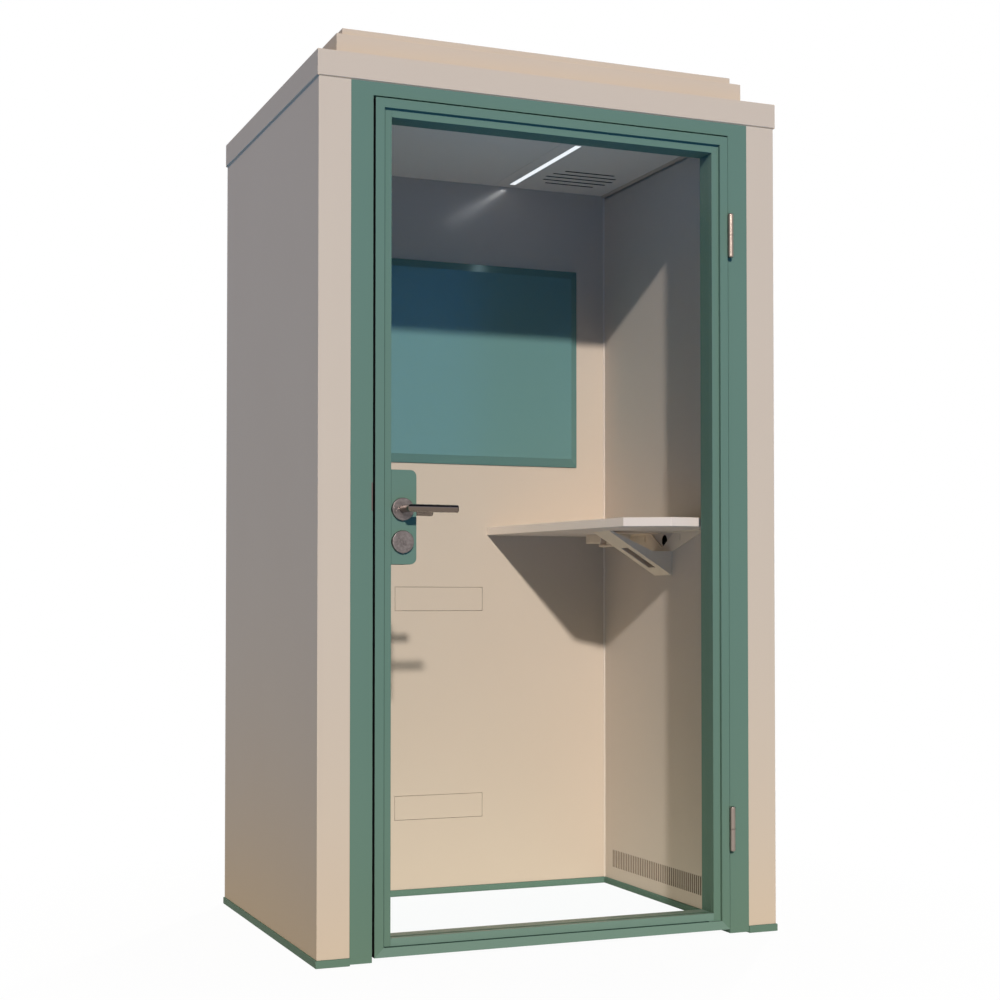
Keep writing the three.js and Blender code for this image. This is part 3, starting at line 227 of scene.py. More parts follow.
def paint_slot_shade(sheet, axis, longest, paint):
    """Paints shade on the cut edges of a sheet's air slots, which are its short faces across an axis."""
    sheet.data.materials.append(paint)
    for edge in sheet.data.polygons:
        places = [sheet.data.vertices[corner].co for corner in edge.vertices]
        reach = max((a - b).length for a in places for b in places)
        if abs(edge.normal[axis]) < 0.5 and reach < longest:
            edge.material_index = 1


for side, paint in (("left", lining_paint), ("right", right_lining_painted_light), ("back", back_lining_paint)):
    lining = softened(f"{side}_inner_skin", f"{side}_lining", paint, 0.0008, longer=0.055)
    if side == "right":
        paint_slot_shade(lining, 0, 0.055, slot_half_painted_shade)
for name in ("hatch_upper", "hatch_lower"):
    softened(name, f"{name}_cover", back_lining_paint, 0.0008, longer=0.05)


# Corner beads: slim quarter-round trims in the upright corners of the lining, cut where the desk crosses.
# Rolled steel strip, powder coated and clipped over the linings' joint; its paint is a little lighter than
# the linings, a painted highlight down the corner.

CORNER_BEAD = 0.004
CORNER_BEAD_STEPS = 6


def extrude_into(shape, outline, along):
    """Adds a solid with the given outline, a list of corner points, drawn out along a vector."""
    end = shape.faces.new([shape.verts.new(corner) for corner in outline])
    drawn = bmesh.ops.extrude_face_region(shape, geom=[end])["geom"]
    bmesh.ops.translate(shape, vec=along, verts=[v for v in drawn if isinstance(v, bmesh.types.BMVert)])
    bmesh.ops.recalc_face_normals(shape, faces=shape.faces)


# The bead paint is lighter than the linings: a painted highlight down the corner.
corner_bead_painted_light = stippled(
    "corner_bead_painted_light", tone("d3c7bc"), tone("d6cabf"), 0.4, 650.0, 0.00005, Specular_IOR_Level=0.1,
)
lining_low, lining_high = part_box("back_inner_skin")
desk_low, desk_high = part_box("desk_top")
corner_spans = {
    "left_corner_bead": (-1, [(lining_low.z, lining_high.z)]),
    "right_corner_bead": (1, [(lining_low.z, desk_low.z), (desk_high.z, lining_high.z)]),
}
for name, (side, spans) in corner_spans.items():
    bead = bmesh.new()
    corner = Vector((side * lining_high.x, lining_low.y, 0.0))
    turns = [pi / 2 * i / CORNER_BEAD_STEPS for i in range(CORNER_BEAD_STEPS + 1)]
    round_face = [
        corner - CORNER_BEAD * Vector((side * cos(turn), sin(turn), 0.0)) for turn in turns
    ]
    for low, high in spans:
        lift = Vector((0.0, 0.0, low))
        extrude_into(bead, [corner + lift] + [p + lift for p in round_face], (0.0, 0.0, high - low))
    finish_piece(bead, name, corner_bead_painted_light, "cabin")


# Infill: boards of pressed mineral wool that fill the walls and the roof between their sheets.
# The fibres lie flat in layers, and the boards are glued to the sheets, so only their cut edges ever show.

fibres, fibres_in, fibres_out = new_group(
    "pressed_fibres",
    {"Colour": "Color", "Shade": "Color", "Vector": "Vector", "Scale": "Float"},
    {"Colour": "Color", "Height": "Float"},
)
strands = add_node(
    fibres, "TexNoise",
    {"Vector": fibres_in["Vector"], "Scale": fibres_in["Scale"], "Detail": 6.0, "Distortion": 1.6},
).outputs[0]
fibres.links.new(between(fibres, strands, fibres_in["Colour"], fibres_in["Shade"]), fibres_out["Colour"])
fibres.links.new(strands, fibres_out["Height"])


def felted_finish(name, colour, shade, scale, layering, depth, **plain):
    """A fibre finish, with its strands drawn out where a layering below 1 squashes an axis."""
    made, tree, shader = new_finish(name, **plain)
    place = add_node(tree, "TexCoord", {}).outputs["Object"]
    lie = add_node(tree, "Mapping", {"Vector": place, "Scale": layering})
    mat = add_node(tree, "Group", {}, node_tree=fibres)
    tree.links.new(lie.outputs["Vector"], mat.inputs["Vector"])
    for socket, value in (("Colour", colour), ("Shade", shade), ("Scale", scale)):
        mat.inputs[socket].default_value = value
    relief = add_node(tree, "Bump", {"Height": mat.outputs["Height"], "Strength": 0.5, "Distance": depth})
    tree.links.new(mat.outputs["Colour"], shader.inputs["Base Color"])
    tree.links.new(relief.outputs["Normal"], shader.inputs["Normal"])
    return made


infill = felted_finish(
    "infill", tone("1d1c1b"), tone("2f2d2b"), 160.0, (1.0, 1.0, 0.35), 0.002,
    Roughness=0.95, Specular_IOR_Level=0.05,
)
for node in ("left_wall_core", "right_wall_core", "back_wall_core", "roof_core"):
    coat(node, infill)


# Ceiling: two flat sheets that meet at a narrow seam, the smaller one with the light and the fan slots.
# Powder-coated like the linings, laid on the wall tops, with a slim cove trim along both side walls.

COVE_OUT = 0.010
COVE_DOWN = 0.005

ceiling_paint = stippled(
    "ceiling_paint", tone("efe6dc"), tone("f2eae1"), 0.4, 650.0, 0.00005, Specular_IOR_Level=0.05,
)
# The fan slots' cut edges are painted near black: painted shade for the dark inside the slots.
slot_painted_shade = stippled(
    "slot_painted_shade", tone("1a1919"), tone("242322"), 0.8, 1100.0, 0.00005, Specular_IOR_Level=0.02,
)
for node in ("ceiling_panel", "ceiling_service_panel"):
    sheet = softened(node, f"{node}_sheet", ceiling_paint, 0.0004, longer=0.3)
    if node == "ceiling_service_panel":
        paint_slot_shade(sheet, 2, 0.25, slot_painted_shade)
cove_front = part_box("door_head")[1].y
cove_run = (0.0, lining_low.y - cove_front, 0.0)
for name, side in (("left_cove", -1), ("right_cove", 1)):
    cove = bmesh.new()
    wall = side * lining_high.x
    extrude_into(
        cove,
        [
            (wall, cove_front, lining_high.z),
            (wall - side * COVE_OUT, cove_front, lining_high.z),
            (wall - side * COVE_OUT, cove_front, lining_high.z - 0.2 * COVE_DOWN),
            (wall - side * 0.3 * COVE_OUT, cove_front, lining_high.z - 0.9 * COVE_DOWN),
            (wall, cove_front, lining_high.z - COVE_DOWN),
        ],
        cove_run,
    )
    finish_piece(cove, name, lining_paint, "cabin")


# Light strip: an extruded aluminium channel let into the ceiling, with an opal lens pressed into it.
# The channel is anodised, and the lens glows evenly, a little less towards its edges.

STRIP_GLINT = 1.6

brushed, brushed_in, brushed_out = new_group(
    "brush_lines",
    {"Vector": "Vector", "Colour": "Color", "Shade": "Color", "Roughness": "Float"},
    {"Colour": "Color", "Roughness": "Float", "Height": "Float"},
)
lines = add_node(
    brushed, "TexNoise", {"Vector": brushed_in["Vector"], "Scale": 1.0, "Detail": 4.0, "Roughness": 0.6},
).outputs[0]
brushed.links.new(between(brushed, lines, brushed_in["Colour"], brushed_in["Shade"]), brushed_out["Colour"])
brushed.links.new(around_value(brushed, brushed_in["Roughness"], lines, 0.2), brushed_out["Roughness"])
brushed.links.new(lines, brushed_out["Height"])


def brushed_finish(name, colour, shade, roughness, lay, depth):
    """A metal brushed along the axis whose lay is smallest, in lines per metre along each axis."""
    made, tree, shader = new_finish(name, Metallic=1.0)
    place = add_node(tree, "TexCoord", {}).outputs["Object"]
    run = add_node(tree, "Mapping", {"Vector": place, "Scale": lay})
    marks = add_node(tree, "Group", {}, node_tree=brushed)
    tree.links.new(run.outputs["Vector"], marks.inputs["Vector"])
    for socket, value in (("Colour", colour), ("Shade", shade), ("Roughness", roughness)):
        marks.inputs[socket].default_value = value
    relief = add_node(tree, "Bump", {"Height": marks.outputs["Height"], "Strength": 0.25, "Distance": depth})
    tree.links.new(marks.outputs["Colour"], shader.inputs["Base Color"])
    tree.links.new(marks.outputs["Roughness"], shader.inputs["Roughness"])
    tree.links.new(relief.outputs["Normal"], shader.inputs["Normal"])
    return made


channel_aluminium = brushed_finish(
    "channel_aluminium", tone("b4b3b0"), tone("c6c5c2"), 0.38, (900.0, 12.0, 900.0), 0.0001,
)
coat("led_channel", channel_aluminium)

light_lens, lens_tree, lens_shader = new_finish("light_lens", Roughness=0.4, Emission_Strength=0.84)
lens_place = add_node(lens_tree, "TexCoord", {}).outputs["Object"]
lens_cells = add_node(
    lens_tree, "TexWave", {"Vector": lens_place, "Scale": 20.0}, wave_type="BANDS", bands_direction="Y",
).outputs["Fac"]
lens_glow = between(lens_tree, lens_cells, (0.92, 0.96, 0.99, 1.0), (0.97, 0.99, 1.0, 1.0))
lens_low, lens_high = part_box("led_diffuser")
lens_half = (lens_high.x - lens_low.x) / 2
lens_across = add_node(
    lens_tree, "Mapping",
    {
        "Vector": lens_place,
        "Location": (-1.0 - lens_low.x / lens_half, 0.0, 0.0),
        "Scale": (1 / lens_half, 0.0, 0.0),
    },
).outputs["Vector"]
lens_out = add_node(lens_tree, "VectorMath", {0: lens_across}, operation="LENGTH").outputs["Value"]
lens_lip = add_node(lens_tree, "MapRange", {"Value": lens_out, "From Min": 0.9, "From Max": 1.0}).outputs[0]
lens_lit = between(lens_tree, lens_lip, lens_glow, (0.0, 0.0, 0.0, 1.0))
lens_tree.links.new(lens_lit, lens_shader.inputs["Emission Color"])
lens_tree.links.new(lens_glow, lens_shader.inputs["Base Color"])
softened("led_diffuser", "light_strip_lens", light_lens, 0.0006)

glint_data = bpy.data.lights.new("strip_glint", "AREA")
glint_data.shape = "RECTANGLE"
glint_data.size = lens_high.x - lens_low.x
glint_data.size_y = lens_high.y - lens_low.y
glint_data.energy = STRIP_GLINT
glint = bpy.data.objects.new("strip_glint", glint_data)
glint.location = ((lens_low.x + lens_high.x) / 2, (lens_low.y + lens_high.y) / 2, lens_low.z - 0.001)
glint.visible_diffuse = False
glint.visible_camera = False
glint.visible_transmission = False
bpy.context.scene.collection.objects.link(glint)


# Roof: a folded pan upside down on the walls, a raised housing for the fan, and its screwed lid.
# Folded and powder-coated steel sheet, with hemmed edges and a tooled bead of sealant under the pan's edge.

SEALANT_OUT = 0.0034
SEALANT_DOWN = 0.0022

softened("roof_cap", "roof_pan", shell_paint, 0.0009, longer=0.5)
softened("roof_housing", "fan_housing", shell_paint, 0.0009, longer=0.5)
softened("roof_housing_lid", "fan_housing_lid", shell_paint, 0.0009, longer=0.5)

wall_low = Vector((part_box("left_outer_skin")[0].x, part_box("left_outer_skin")[0].y, 0.0))
wall_high = Vector((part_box("right_outer_skin")[1].x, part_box("back_outer_skin")[1].y, 0.0))
pan_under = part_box("roof_cap")[0].z
sealant = bmesh.new()
for axis in (0, 1):
    across = 1 - axis
    for edge, outward in ((wall_low, -1), (wall_high, 1)):
        section = []
        for out, down in ((0.0, 0.0), (SEALANT_OUT, 0.0), (0.0, SEALANT_DOWN)):
            point = Vector((0.0, 0.0, pan_under - down))
            point[across] = edge[across] + outward * out
            point[axis] = wall_low[axis] - SEALANT_OUT
            section.append(point)
        run = Vector((0.0, 0.0, 0.0))
        run[axis] = wall_high[axis] - wall_low[axis] + 2 * SEALANT_OUT
        extrude_into(sealant, section, run)
# The sealant's warm tan offsets the cool shade under the pan's edge: painted light.
sealant_painted_light = stippled(
    "sealant_painted_light", tone("dcbd99"), tone("dec09d"), 0.6, 900.0, 0.00002, Specular_IOR_Level=0.02,
)
finish_piece(sealant, "roof_sealant", sealant_painted_light, "cabin")


# Fan and power supply: a square axial fan over the ceiling slots, and the supply with its mains inlet.
# Moulded black nylon with a fine spark-eroded texture, and three flat brass pins in the inlet.

PIN_WIDTH = 0.004
PIN_THICK = 0.002
PIN_LENGTH = 0.010
PIN_EASE = 0.0004
PIN_SPOTS = ((-0.006, -0.002), (0.0, 0.002), (0.006, -0.002))

dark_plastic = stippled(
    "dark_plastic", tone("232426"), tone("2d2e30"), 0.5, 1400.0, 0.0002, Specular_IOR_Level=0.3,
)
for node in ("fan_frame", "fan_rotor", "power_supply"):
    coat(node, dark_plastic)
pin_brass = brushed_finish(
    "pin_brass", tone("b9954f"), tone("d0ad66"), 0.3, (900.0, 40.0, 900.0), 0.00004,
)
inlet = next(o for o in frame["record"]["physics"]["openings"] if o["name"] == "mains_inlet")
inlet_low, inlet_high = (Vector(corner) for corner in inlet["box_m"])
pins = bmesh.new()
for across, up in PIN_SPOTS:
    middle = (inlet_low + inlet_high) / 2 + Vector((across, 0.0, up))
    half_thick = PIN_THICK / 2
    half_wide = PIN_WIDTH / 2
    extrude_into(
        pins,
        [
            (middle.x + x, inlet_low.y - 0.001, middle.z + z)
            for x, z in (
                (-half_thick, -half_wide), (half_thick, -half_wide),
                (half_thick, half_wide), (-half_thick, half_wide),
            )
        ],
        (0.0, PIN_LENGTH, 0.0),
    )
bmesh.ops.bevel(
    pins, geom=[e for e in pins.edges if e.calc_length() < 2 * PIN_WIDTH], offset=PIN_EASE,
    segments=2, profile=0.5, affect="EDGES", clamp_overlap=True, material=-1,
)
finish_piece(pins, "inlet_pins", pin_brass, "cabin")


# Acoustic board: a flat panel on the back wall, wide bevels on all four sides.
# Pressed felt in a grey green, hung on hidden rails; its face has a strong blue-tinted sheen, a painted
# reflection of a blue sky.

board_felt = felted_finish(
    "board_felt", tone("638884"), tone("6a8f8b"), 1600.0, (1.0, 1.0, 1.0), 0.00002,
    Roughness=0.24, Specular_IOR_Level=0.03, Specular_Tint=(0.2, 0.75, 0.9, 1.0),
)
# The face's strong blue-tinted sheen is a painted reflection: it adds a sky's blue to the board where it lies
# in shade.
board_face_painted_sky_sheen = felted_finish(
    "board_face_painted_sky_sheen", tone("638884"), tone("6a8f8b"), 1600.0, (1.0, 1.0, 1.0), 0.00002,
    Roughness=0.24, Specular_IOR_Level=0.7, Specular_Tint=(0.0, 0.25, 0.9, 1.0),
)
board = softened("acoustic_board", "bevelled_board", board_felt, 0.001)
board.data.materials.append(board_face_painted_sky_sheen)
for face in board.data.polygons:
    if face.normal.y < -0.99:
        face.material_index = 1


# Desk: a shelf along the right wall, narrower at the door, with a cut corner.
# Laminated board with a matt off-white face and an edge band pressed round it; the edge that faces left is
# painted lighter, as painted light from the low sun.

desk_laminate = stippled(
    "desk_laminate", tone("ddd0c8"), tone("e2d6ce"), 0.4, 1800.0, 0.00005, Specular_IOR_Level=0.15,
)
# The left-facing edge is painted lighter than the board: painted light where the sun grazes it.
desk_edge_painted_light = stippled(
    "desk_edge_painted_light", tone("f6e8dc"), tone("faece0"), 0.4, 1800.0, 0.00005, Specular_IOR_Level=0.15,
)
desk = softened("desk_top", "desk_board", desk_laminate, 0.0015)
desk.data.materials.append(desk_edge_painted_light)
for face in desk.data.polygons:
    if face.normal.x < -0.9:
        face.material_index = 1


# Desk bracket and power box: a folded bracket screwed to the wall, and a small box with a cable strap.
# Laser-cut steel sheet, bent, welded at the webs and powder coated; the paint is a little lighter and warmer
# than the shell, painted light for the bounce under the desk.

# Lighter and warmer than the shell paint: painted light under the desk.
bracket_painted_light = stippled(
    "bracket_painted_light", tone("e6d7c4"), tone("e9dac8"), 0.55, 650.0, 0.00005, Specular_IOR_Level=0.04,
)
softened("desk_bracket", "folded_bracket", bracket_painted_light, 0.0004, longer=0.012)
softened("desk_power_box", "power_box", bracket_painted_light, 0.0015)
softened("power_box_strap", "cable_strap", bracket_painted_light, 0.0004)


# Door frame: two jambs, a head and a planted stop, screwed between the walls with a seal on the stop.
# Painted aluminium sections, filled and rubbed flush at their joints, and an extruded black rubber seal.

for node in ("jamb_left", "jamb_right", "door_head"):
    coat(node, frame_paint)
softened("door_stop", "door_stop_section", frame_paint, 0.0008, longer=0.3)
seal_rubber = stippled(
    "seal_rubber", tone("0c0d0d"), tone("131414"), 0.7, 1100.0, 0.0002, Specular_IOR_Level=0.1,
)
softened("door_seal", "stop_seal", seal_rubber, 0.001, longer=0.05)


# Door leaf: four sections and four glazing beads that stand back behind a step; a black strip runs along the
# lock edge, and a dark strip in the step at the left and the bottom is painted shade.
# Painted aluminium, screwed at the corners; the beads are clipped in after the pane.

EDGE_STRIP = 0.0008
EDGE_STRIP_DEPTH = 0.0226
WEDGE_WIDTH = 0.0034
WEDGE_PROUD = 0.0005

# The bottom rail and its bead take a glossier copy of the frame paint, a little lighter: the lighter tone is
# painted light on the sill.
sill_painted_light = stippled(
    "sill_painted_light", tone("668479"), tone("6a887d"), 0.3, 900.0, 0.00008, Specular_IOR_Level=0.35,
)
for node in ("lock_stile", "hinge_stile", "top_rail"):
    softened(node, f"{node}_section", frame_paint, 0.0006, longer=0.3)
for node in ("bead_lock_side", "bead_hinge_side", "bead_top"):
    softened(node, f"{node}_clip", frame_paint, 0.0006, longer=0.3)
softened("bottom_rail", "bottom_rail_section", sill_painted_light, 0.0006, longer=0.3)
softened("bead_bottom", "bead_bottom_clip", sill_painted_light, 0.0006, longer=0.3)

leaf_low, leaf_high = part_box("lock_stile")
# A black strip along the leaf's lock edge, so that the gap to the jamb shows black.
edge_strip = bmesh.new()
extrude_into(
    edge_strip,
    [
        (leaf_low.x - out, leaf_low.y + back, leaf_low.z + 0.001)
        for out, back in (
            (0.0, 0.0006), (0.8 * EDGE_STRIP, 0.0006), (EDGE_STRIP, 0.0012),
            (EDGE_STRIP, EDGE_STRIP_DEPTH - 0.0006), (0.8 * EDGE_STRIP, EDGE_STRIP_DEPTH), (0.0, EDGE_STRIP_DEPTH),
        )
    ],
    (0.0, 0.0, leaf_high.z - leaf_low.z - 0.002),
)
finish_piece(edge_strip, "lock_edge_black_strip", seal_rubber, "door")

# A dark strip in the step, at the lock side and the bottom only: painted shade for the shade line there.
wedge = bmesh.new()
side_low, side_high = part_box("bead_lock_side")
foot_low, foot_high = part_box("bead_bottom")
extrude_into(
    wedge,
    [
        (side_low.x + x, side_low.y - y, side_low.z)
        for x, y in ((0.0, 0.0), (0.0, WEDGE_PROUD), (WEDGE_WIDTH, WEDGE_PROUD), (WEDGE_WIDTH, 0.0))
    ],
    (0.0, 0.0, side_high.z - side_low.z),
)
extrude_into(
    wedge,
    [
        (side_low.x + WEDGE_WIDTH, foot_low.y - y, foot_low.z + z)
        for y, z in ((0.0, 0.0), (0.008, 0.0), (0.008, WEDGE_PROUD), (0.0, 2 * WEDGE_PROUD))
    ],
    (foot_high.x - foot_low.x, 0.0, 0.0),
)
rubber_and_painted_shade = stippled(
    "rubber_and_painted_shade", tone("2c443d"), tone("344d45"), 0.7, 1100.0, 0.0002, Specular_IOR_Level=0.05,
)
finish_piece(wedge, "glazing_wedge_painted_shade", rubber_and_painted_shade, "door")


# Pane: laminated safety glass, notched round the lock, its ground edges set in a painted channel.
# Two sheets with an acoustic film between them, coated so that it hardly mirrors.

PANE_EDGE_CLEAR = 0.0002

glass_low, glass_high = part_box("door_glass")
sight_low = Vector((-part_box("bead_top")[1].x, glass_low.y, foot_high.z))
sight_high = Vector((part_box("bead_top")[1].x, glass_high.y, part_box("bead_top")[0].z))

pane = merged_copy("door_glass")
for axis in (0, 2):
    for edge, outward in ((sight_low, -1), (sight_high, 1)):
        normal = Vector((0.0, 0.0, 0.0))
        normal[axis] = outward
        cut = bmesh.ops.bisect_plane(
            pane, geom=pane.verts[:] + pane.edges[:] + pane.faces[:], dist=1e-6,
            plane_co=edge - normal * PANE_EDGE_CLEAR, plane_no=normal, clear_outer=True,
        )
        rim = [e for e in cut["geom_cut"] if isinstance(e, bmesh.types.BMEdge)]
        bmesh.ops.edgeloop_fill(pane, edges=[e for e in rim if e.is_boundary])
bmesh.ops.recalc_face_normals(pane, faces=pane.faces)
for side in pane.faces:
    side.material_index = int(abs(side.normal.y) < 0.5)

pane_glass, pane_tree, pane_shader = new_finish(
    "pane_glass", Roughness=0.0, Transmission_Weight=1.0, IOR=1.06, Specular_IOR_Level=0.02,
)
pane_place = add_node(pane_tree, "TexCoord", {}).outputs["Object"]
pane_film = add_node(pane_tree, "TexNoise", {"Vector": pane_place, "Scale": 3.0, "Detail": 2.0}).outputs[0]
pane_tint = between(pane_tree, pane_film, (0.97, 0.985, 0.98, 1.0), (0.985, 0.99, 0.99, 1.0))
pane_tree.links.new(pane_tint, pane_shader.inputs["Base Color"])
pane_rays = add_node(pane_tree, "LightPath", {}).outputs
pane_unseen = add_node(
    pane_tree, "Math", {0: pane_rays["Is Shadow Ray"], 1: pane_rays["Is Diffuse Ray"]}, operation="MAXIMUM",
).outputs[0]
pane_clear = add_node(pane_tree, "BsdfTransparent", {"Color": (0.95, 0.965, 0.96, 1.0)}).outputs[0]
pane_mix = add_node(pane_tree, "MixShader", {0: pane_unseen, 1: pane_shader.outputs[0], 2: pane_clear})
pane_tree.links.new(pane_mix.outputs[0], pane_tree.nodes["Material Output"].inputs["Surface"])
door_pane = finish_piece(pane, "door_pane", pane_glass, "door")
door_pane.data.materials.append(frame_paint)
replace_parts(door_pane, "door_glass")

cover_low, cover_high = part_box("lock_box_front")
channel_runs = {
    (sight_high.x, glass_high.x): [(glass_low.z, glass_high.z)],
    (glass_low.x, sight_low.x): [(glass_low.z, cover_low.z), (cover_high.z, glass_high.z)],
    (sight_low.x, sight_high.x): [(glass_low.z, sight_low.z), (sight_high.z, glass_high.z)],
}
channel = bmesh.new()
for (left, right), heights in channel_runs.items():
    for low, high in heights:
        extrude_into(
            channel,
            [
                (left, glass_low.y, low), (right, glass_low.y, low),
                (right, glass_low.y, high), (left, glass_low.y, high),
            ],
            (0.0, glass_high.y - glass_low.y, 0.0),
        )
finish_piece(channel, "glazing_channel", frame_paint, "door")


# Lock: rounded covers in the pane's notch over a mortise case, with a latch and a dead bolt.
# Covers of painted zinc casting; case, bolts and strike of satin stainless steel with countersunk screws.

GASKET = 0.001
SCREW_RADIUS = 0.003
SCREW_HEAD = (
    (-0.001, 0.0), (-0.001, 1.0), (0.00005, 1.0), (0.00015, 0.9),
    (0.00015, 0.45), (-0.0006, 0.35), (-0.0006, 0.0),
)
STRIKE_SCREWS = (0.9733, 1.0945)
FOREND_SCREWS = (0.9445, 1.1155)


def turn_into(shape, profile, centre, axis, steps=48, ring=False):
    """Adds a turned solid: a profile spun round an axis, from pole to pole or as a ring with a bore."""
    points = [shape.verts.new(point) for point in profile]
    pairs = list(zip(points, points[1:])) + ([(points[-1], points[0])] if ring else [])
    bmesh.ops.spin(
        shape, geom=points + [shape.edges.new(pair) for pair in pairs], cent=centre, axis=axis,
        angle=2 * pi, steps=steps, use_merge=True,
    )
    bmesh.ops.remove_doubles(shape, verts=shape.verts, dist=1e-7)
    bmesh.ops.recalc_face_normals(shape, faces=shape.faces)


satin_steel = brushed_finish(
    "satin_steel", tone("655c57"), tone("80756f"), 0.3, (60.0, 1500.0, 1500.0), 0.00006,
)
for node in ("lock_box_front", "lock_box_back"):
    softened(node, f"{node}_cover", frame_paint, 0.001)
for node in ("lock_case", "latch_bolt", "dead_bolt", "lock_follower"):
    coat(node, satin_steel)
softened("strike_plate", "strike", satin_steel, 0.0004, longer=0.012)

gasket = bmesh.new()
extrude_into(
    gasket,
    [
        (side_high.x + across, cover_low.y + deep, cover_low.z)
        for across, deep in ((0.0, 0.002), (0.0, -GASKET), (GASKET, -0.3 * GASKET), (GASKET, 0.002))
    ],
    (0.0, 0.0, cover_high.z - cover_low.z),
)
finish_piece(gasket, "cover_gasket", rubber_and_painted_shade, "door")

bolt_low, bolt_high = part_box("dead_bolt")
screw_rows = (
    ("strike_screws", "cabin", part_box("strike_plate")[1].x, 1, STRIKE_SCREWS),
    ("forend_screws", "door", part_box("lock_case")[0].x, -1, FOREND_SCREWS),
)
for name, body, face, outward, heights in screw_rows:
    heads = bmesh.new()
    for height in heights:
        spot = Vector((face, (bolt_low.y + bolt_high.y) / 2, height))
        head_profile = [
            spot + Vector((outward * proud, 0.0, share * SCREW_RADIUS))
            for proud, share in SCREW_HEAD
        ]
        turn_into(heads, head_profile, spot, (1.0, 0.0, 0.0), steps=24)
    finish_piece(heads, name, satin_steel, body)


# Lever set: a round bar with a mitred neck on each face of the door, with round roses and a privacy turn.
# Solid stainless steel, satin brushed along the bar, and cast roses with a grub screw in their lower edge.

BAR_SIDES = 48
BAR_END_ROUND = 0.0012
NECK_SEAT = 0.001
ROSE_BORE = {"lever": 0.0094, "turn": 0.0072}
ROSE_EDGE_STEPS = 5
ROSE_EDGE = 0.0016
GRUB_RADIUS = 0.0024
GRUB_PROUD = 0.0014

bar_steel = brushed_finish(
    "bar_steel", tone("685b52"), tone("73665c"), 0.16, (60.0, 900.0, 900.0), 0.00002,
)
rose_low, rose_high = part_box("lever_rosette_outer")
lever_axis = (rose_low + rose_high) / 2
levers = (("lever_outer", 1, "lever_rosette_outer"), ("lever_inner", -1, "lever_rosette_inner"))
for node, neck_way, rose in levers:
    low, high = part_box(node)
    radius = (high.z - low.z) / 2
    bar_y = low.y + radius if neck_way > 0 else high.y - radius
    neck_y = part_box(rose)[0].y + NECK_SEAT if neck_way > 0 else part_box(rose)[1].y - NECK_SEAT
    mitre = Vector((lever_axis.x, bar_y, lever_axis.z))
    shape = bmesh.new()
    bmesh.ops.create_circle(shape, cap_ends=True, segments=BAR_SIDES, radius=radius)
    bmesh.ops.rotate(shape, cent=(0.0, 0.0, 0.0), matrix=Matrix.Rotation(pi / 2, 3, "Y"), verts=shape.verts)
    bmesh.ops.translate(shape, vec=(high.x, mitre.y, mitre.z), verts=shape.verts)
    bar_end = shape.edges[:]
    lean = Matrix.Identity(4)
    lean[0][1] = neck_way
    flat = Matrix.Diagonal((1.0, 0.0, 1.0, 1.0))
    neck_end = Vector((0.0, neck_y, 0.0))
    steps = (
        ((mitre.x - high.x, 0.0, 0.0), Matrix.Translation(mitre) @ lean @ Matrix.Translation(-mitre)),
        ((0.0, neck_y - bar_y, 0.0), Matrix.Translation(neck_end) @ flat @ Matrix.Translation(-neck_end)),
    )
    face = shape.faces[:]
    for move, reshape in steps:
        drawn = bmesh.ops.extrude_face_region(shape, geom=face)["geom"]
        corners = [v for v in drawn if isinstance(v, bmesh.types.BMVert)]
        face = [f for f in drawn if isinstance(f, bmesh.types.BMFace)]
        bmesh.ops.translate(shape, vec=move, verts=corners)
        bmesh.ops.transform(shape, matrix=reshape, verts=corners)
    bmesh.ops.recalc_face_normals(shape, faces=shape.faces)
    bmesh.ops.bevel(
        shape, geom=bar_end, offset=BAR_END_ROUND, segments=3, profile=0.5, affect="EDGES",
        clamp_overlap=True, material=-1,
    )
    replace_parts(finish_piece(shape, f"{node}_handle", bar_steel, "lever"), node)

rose_steel = brushed_finish(
    "rose_steel", tone("3d3635"), tone("8f8784"), 0.36, (200.0, 200.0, 200.0), 0.002,
)
for kind, bore in ROSE_BORE.items():
    for face in ("outer", "inner"):
        node = f"{kind}_rosette_{face}"
        low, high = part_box(node)
        centre = (low + high) / 2
        radius = (high.x - low.x) / 2
        back, front = (high.y, low.y) if face == "outer" else (low.y, high.y)
        inward = 1 if face == "outer" else -1
        turns = [pi / 2 * i / ROSE_EDGE_STEPS for i in range(ROSE_EDGE_STEPS + 1)]
        rim = [
            (radius - ROSE_EDGE + ROSE_EDGE * sin(turn), front + inward * ROSE_EDGE * (1 - cos(turn)))
            for turn in turns
        ]
        shape = bmesh.new()
        turn_into(
            shape,
            [(centre.x + r, y, centre.z) for r, y in [(bore, back), (bore, front)] + rim + [(radius, back)]],
            centre, (0.0, 1.0, 0.0), steps=72, ring=True,
        )
        grub = Vector((centre.x, front + inward * 0.55 * (high.y - low.y), low.z + 0.001))
        turn_into(
            shape,
            [
                grub + Vector((r, 0.0, z))
                for r, z in (
                    (0.0, 0.001), (GRUB_RADIUS, 0.001), (GRUB_RADIUS, -0.001 - 0.6 * GRUB_PROUD),
                    (0.7 * GRUB_RADIUS, -0.001 - GRUB_PROUD), (0.0, -0.001 - GRUB_PROUD),
                )
            ],
            grub, (0.0, 0.0, 1.0), steps=20,
        )
        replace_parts(finish_piece(shape, f"{node}_rose", rose_steel, "door"), node)
softened("thumb_turn", "privacy_turn", rose_steel, 0.0004)


# Hinges: lift-off barrels, the lower half fixed to the jamb with the pin, the upper half to the leaf.
# Turned steel with domed ends, nickelled dark and polished, each half welded to its plate in the gap.

BARREL_DOME = ((0.0, 0.0), (0.55, 0.0002), (0.82, 0.0010), (0.95, 0.0022), (1.0, 0.0038))
BARREL_SPLIT_EASE = 0.0004
HINGE_PLATE = 0.0017

